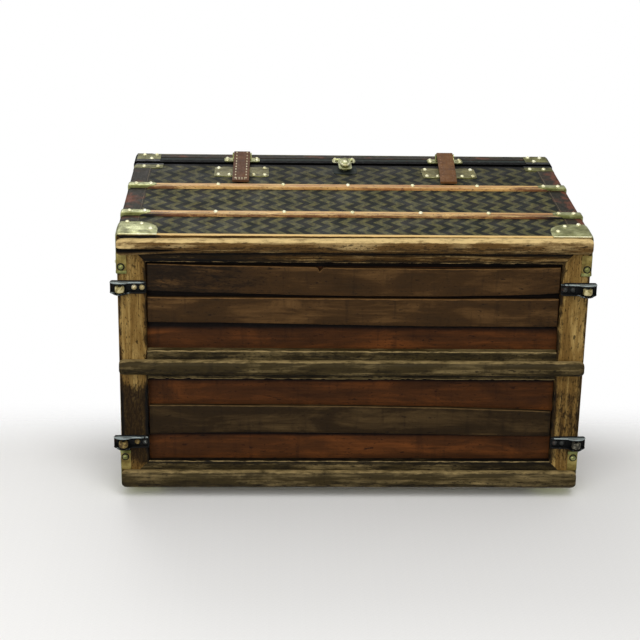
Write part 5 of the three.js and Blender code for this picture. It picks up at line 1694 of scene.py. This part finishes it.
class TrunkLook(bpy.types.PropertyGroup):
    """Sizes and colours of the dressed trunk that a user may change."""

    nail_radius: FloatProperty(name="Nail radius", description="Radius of a nail head",
                               default=4.2 * MM, unit="LENGTH", subtype="DISTANCE")
    stitch_pitch: FloatProperty(name="Stitch pitch", description="Length of thread and gap",
                                default=6.4 * MM, unit="LENGTH", subtype="DISTANCE")
    binding_width: FloatProperty(name="Binding width", description="Width of the edge binding",
                                 default=31 * MM, unit="LENGTH", subtype="DISTANCE")
    herringbone_width: FloatProperty(name="Herringbone width", unit="LENGTH", default=24 * MM,
                                     description="Width of one column", subtype="DISTANCE")
    herringbone_pitch: FloatProperty(name="Herringbone pitch", unit="LENGTH", default=32 * MM,
                                     description="Height of one stripe and gap",
                                     subtype="DISTANCE")
    canvas_dark: FloatVectorProperty(name="Canvas ground", description="Dark tone of the canvas",
                                     default=tint(24, 28, 22)[:3], subtype="COLOR")
    canvas_light: FloatVectorProperty(name="Canvas figure", description="Light canvas tone",
                                      default=tint(98, 93, 54)[:3], subtype="COLOR")
    leather: FloatVectorProperty(name="Strap leather", description="Straps and handles",
                                 default=tint(112, 74, 46)[:3], subtype="COLOR")
    ambient: FloatProperty(name="Ambient light", description="Strength of the room's light",
                           default=0.5, subtype="FACTOR")
    light: FloatProperty(name="Lamp level", description="Scale of all lamp powers",
                         default=1.0, subtype="FACTOR")


class TRUNK_OT_finishes(bpy.types.Operator):
    """Mixes the canvas, wood, metal, leather and cloth finishes"""

    bl_idname = "trunk.finishes"
    bl_label = "Mix finishes"

    def execute(self, context):
        mix_finishes(context.scene.trunk_look)
        return {"FINISHED"}


class TRUNK_OT_canvas(bpy.types.Operator):
    """Makes the canvas of body and lid, the lid's lining and the stitched bindings"""

    bl_idname = "trunk.canvas"
    bl_label = "Canvas and bindings"

    def execute(self, context):
        make_canvas(context.scene.trunk_look)
        return {"FINISHED"}


class TRUNK_OT_slats(bpy.types.Operator):
    """Makes the slats with their brass clamps and nails"""

    bl_idname = "trunk.slats"
    bl_label = "Slats and clamps"

    def execute(self, context):
        make_slats(context.scene.trunk_look)
        return {"FINISHED"}


class TRUNK_OT_frame(bpy.types.Operator):
    """Makes the bottom's rails, stiles, runners and boards"""

    bl_idname = "trunk.frame"
    bl_label = "Bottom frame"

    def execute(self, context):
        make_frame()
        return {"FINISHED"}


class TRUNK_OT_corners(bpy.types.Operator):
    """Makes the brass corner irons with their tabs and nails"""

    bl_idname = "trunk.corners"
    bl_label = "Corner irons"

    def execute(self, context):
        make_corners(context.scene.trunk_look)
        return {"FINISHED"}


class TRUNK_OT_castors(bpy.types.Operator):
    """Makes the castor forks and their rollers"""

    bl_idname = "trunk.castors"
    bl_label = "Castors"

    def execute(self, context):
        make_castors()
        return {"FINISHED"}


class TRUNK_OT_rims(bpy.types.Operator):
    """Makes the body's rim and the lid's edging with their caps and nails"""

    bl_idname = "trunk.rims"
    bl_label = "Rims"

    def execute(self, context):
        make_rim(context.scene.trunk_look)
        return {"FINISHED"}


class TRUNK_OT_fittings(bpy.types.Operator):
    """Makes the brackets, keepers, hasp, hinges and handle loops"""

    bl_idname = "trunk.fittings"
    bl_label = "Fittings"

    def execute(self, context):
        make_fittings(context.scene.trunk_look)
        return {"FINISHED"}


class TRUNK_OT_leather(bpy.types.Operator):
    """Makes the two lid straps and the two end handles"""

    bl_idname = "trunk.leather"
    bl_label = "Straps and handles"

    def execute(self, context):
        make_leather(context.scene.trunk_look)
        return {"FINISHED"}


class TRUNK_OT_stage(bpy.types.Operator):
    """Makes the floors, the lamps, the room's light and the camera"""

    bl_idname = "trunk.stage"
    bl_label = "Stage"

    def execute(self, context):
        make_stage(context.scene.trunk_look)
        return {"FINISHED"}


OPERATORS = [TRUNK_OT_finishes, TRUNK_OT_canvas, TRUNK_OT_slats, TRUNK_OT_frame,
             TRUNK_OT_corners, TRUNK_OT_castors, TRUNK_OT_rims, TRUNK_OT_fittings,
             TRUNK_OT_leather, TRUNK_OT_stage]


class TRUNK_PT_panel(bpy.types.Panel):
    """Lists the trunk's sizes, colours and makers"""

    bl_label = "Dome top trunk"
    bl_space_type = "VIEW_3D"
    bl_region_type = "UI"
    bl_category = "Trunk"

    def draw(self, context):
        for key in TrunkLook.__annotations__:
            self.layout.prop(context.scene.trunk_look, key)
        for operator in OPERATORS:
            self.layout.operator(operator.bl_idname)


CLASSES = [TrunkLook, *OPERATORS, TRUNK_PT_panel]


def register():
    """Adds the classes and the scene's look."""
    for item in CLASSES:
        bpy.utils.register_class(item)
    bpy.types.Scene.trunk_look = PointerProperty(type=TrunkLook)


def unregister():
    """Takes them away again."""
    del bpy.types.Scene.trunk_look
    for item in reversed(CLASSES):
        bpy.utils.unregister_class(item)


def main():
    """Registers the add-on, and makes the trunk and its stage."""
    register()
    for operator in OPERATORS:
        getattr(bpy.ops.trunk, operator.bl_idname.split(".")[1])()


if __name__ == "__main__":
    main()
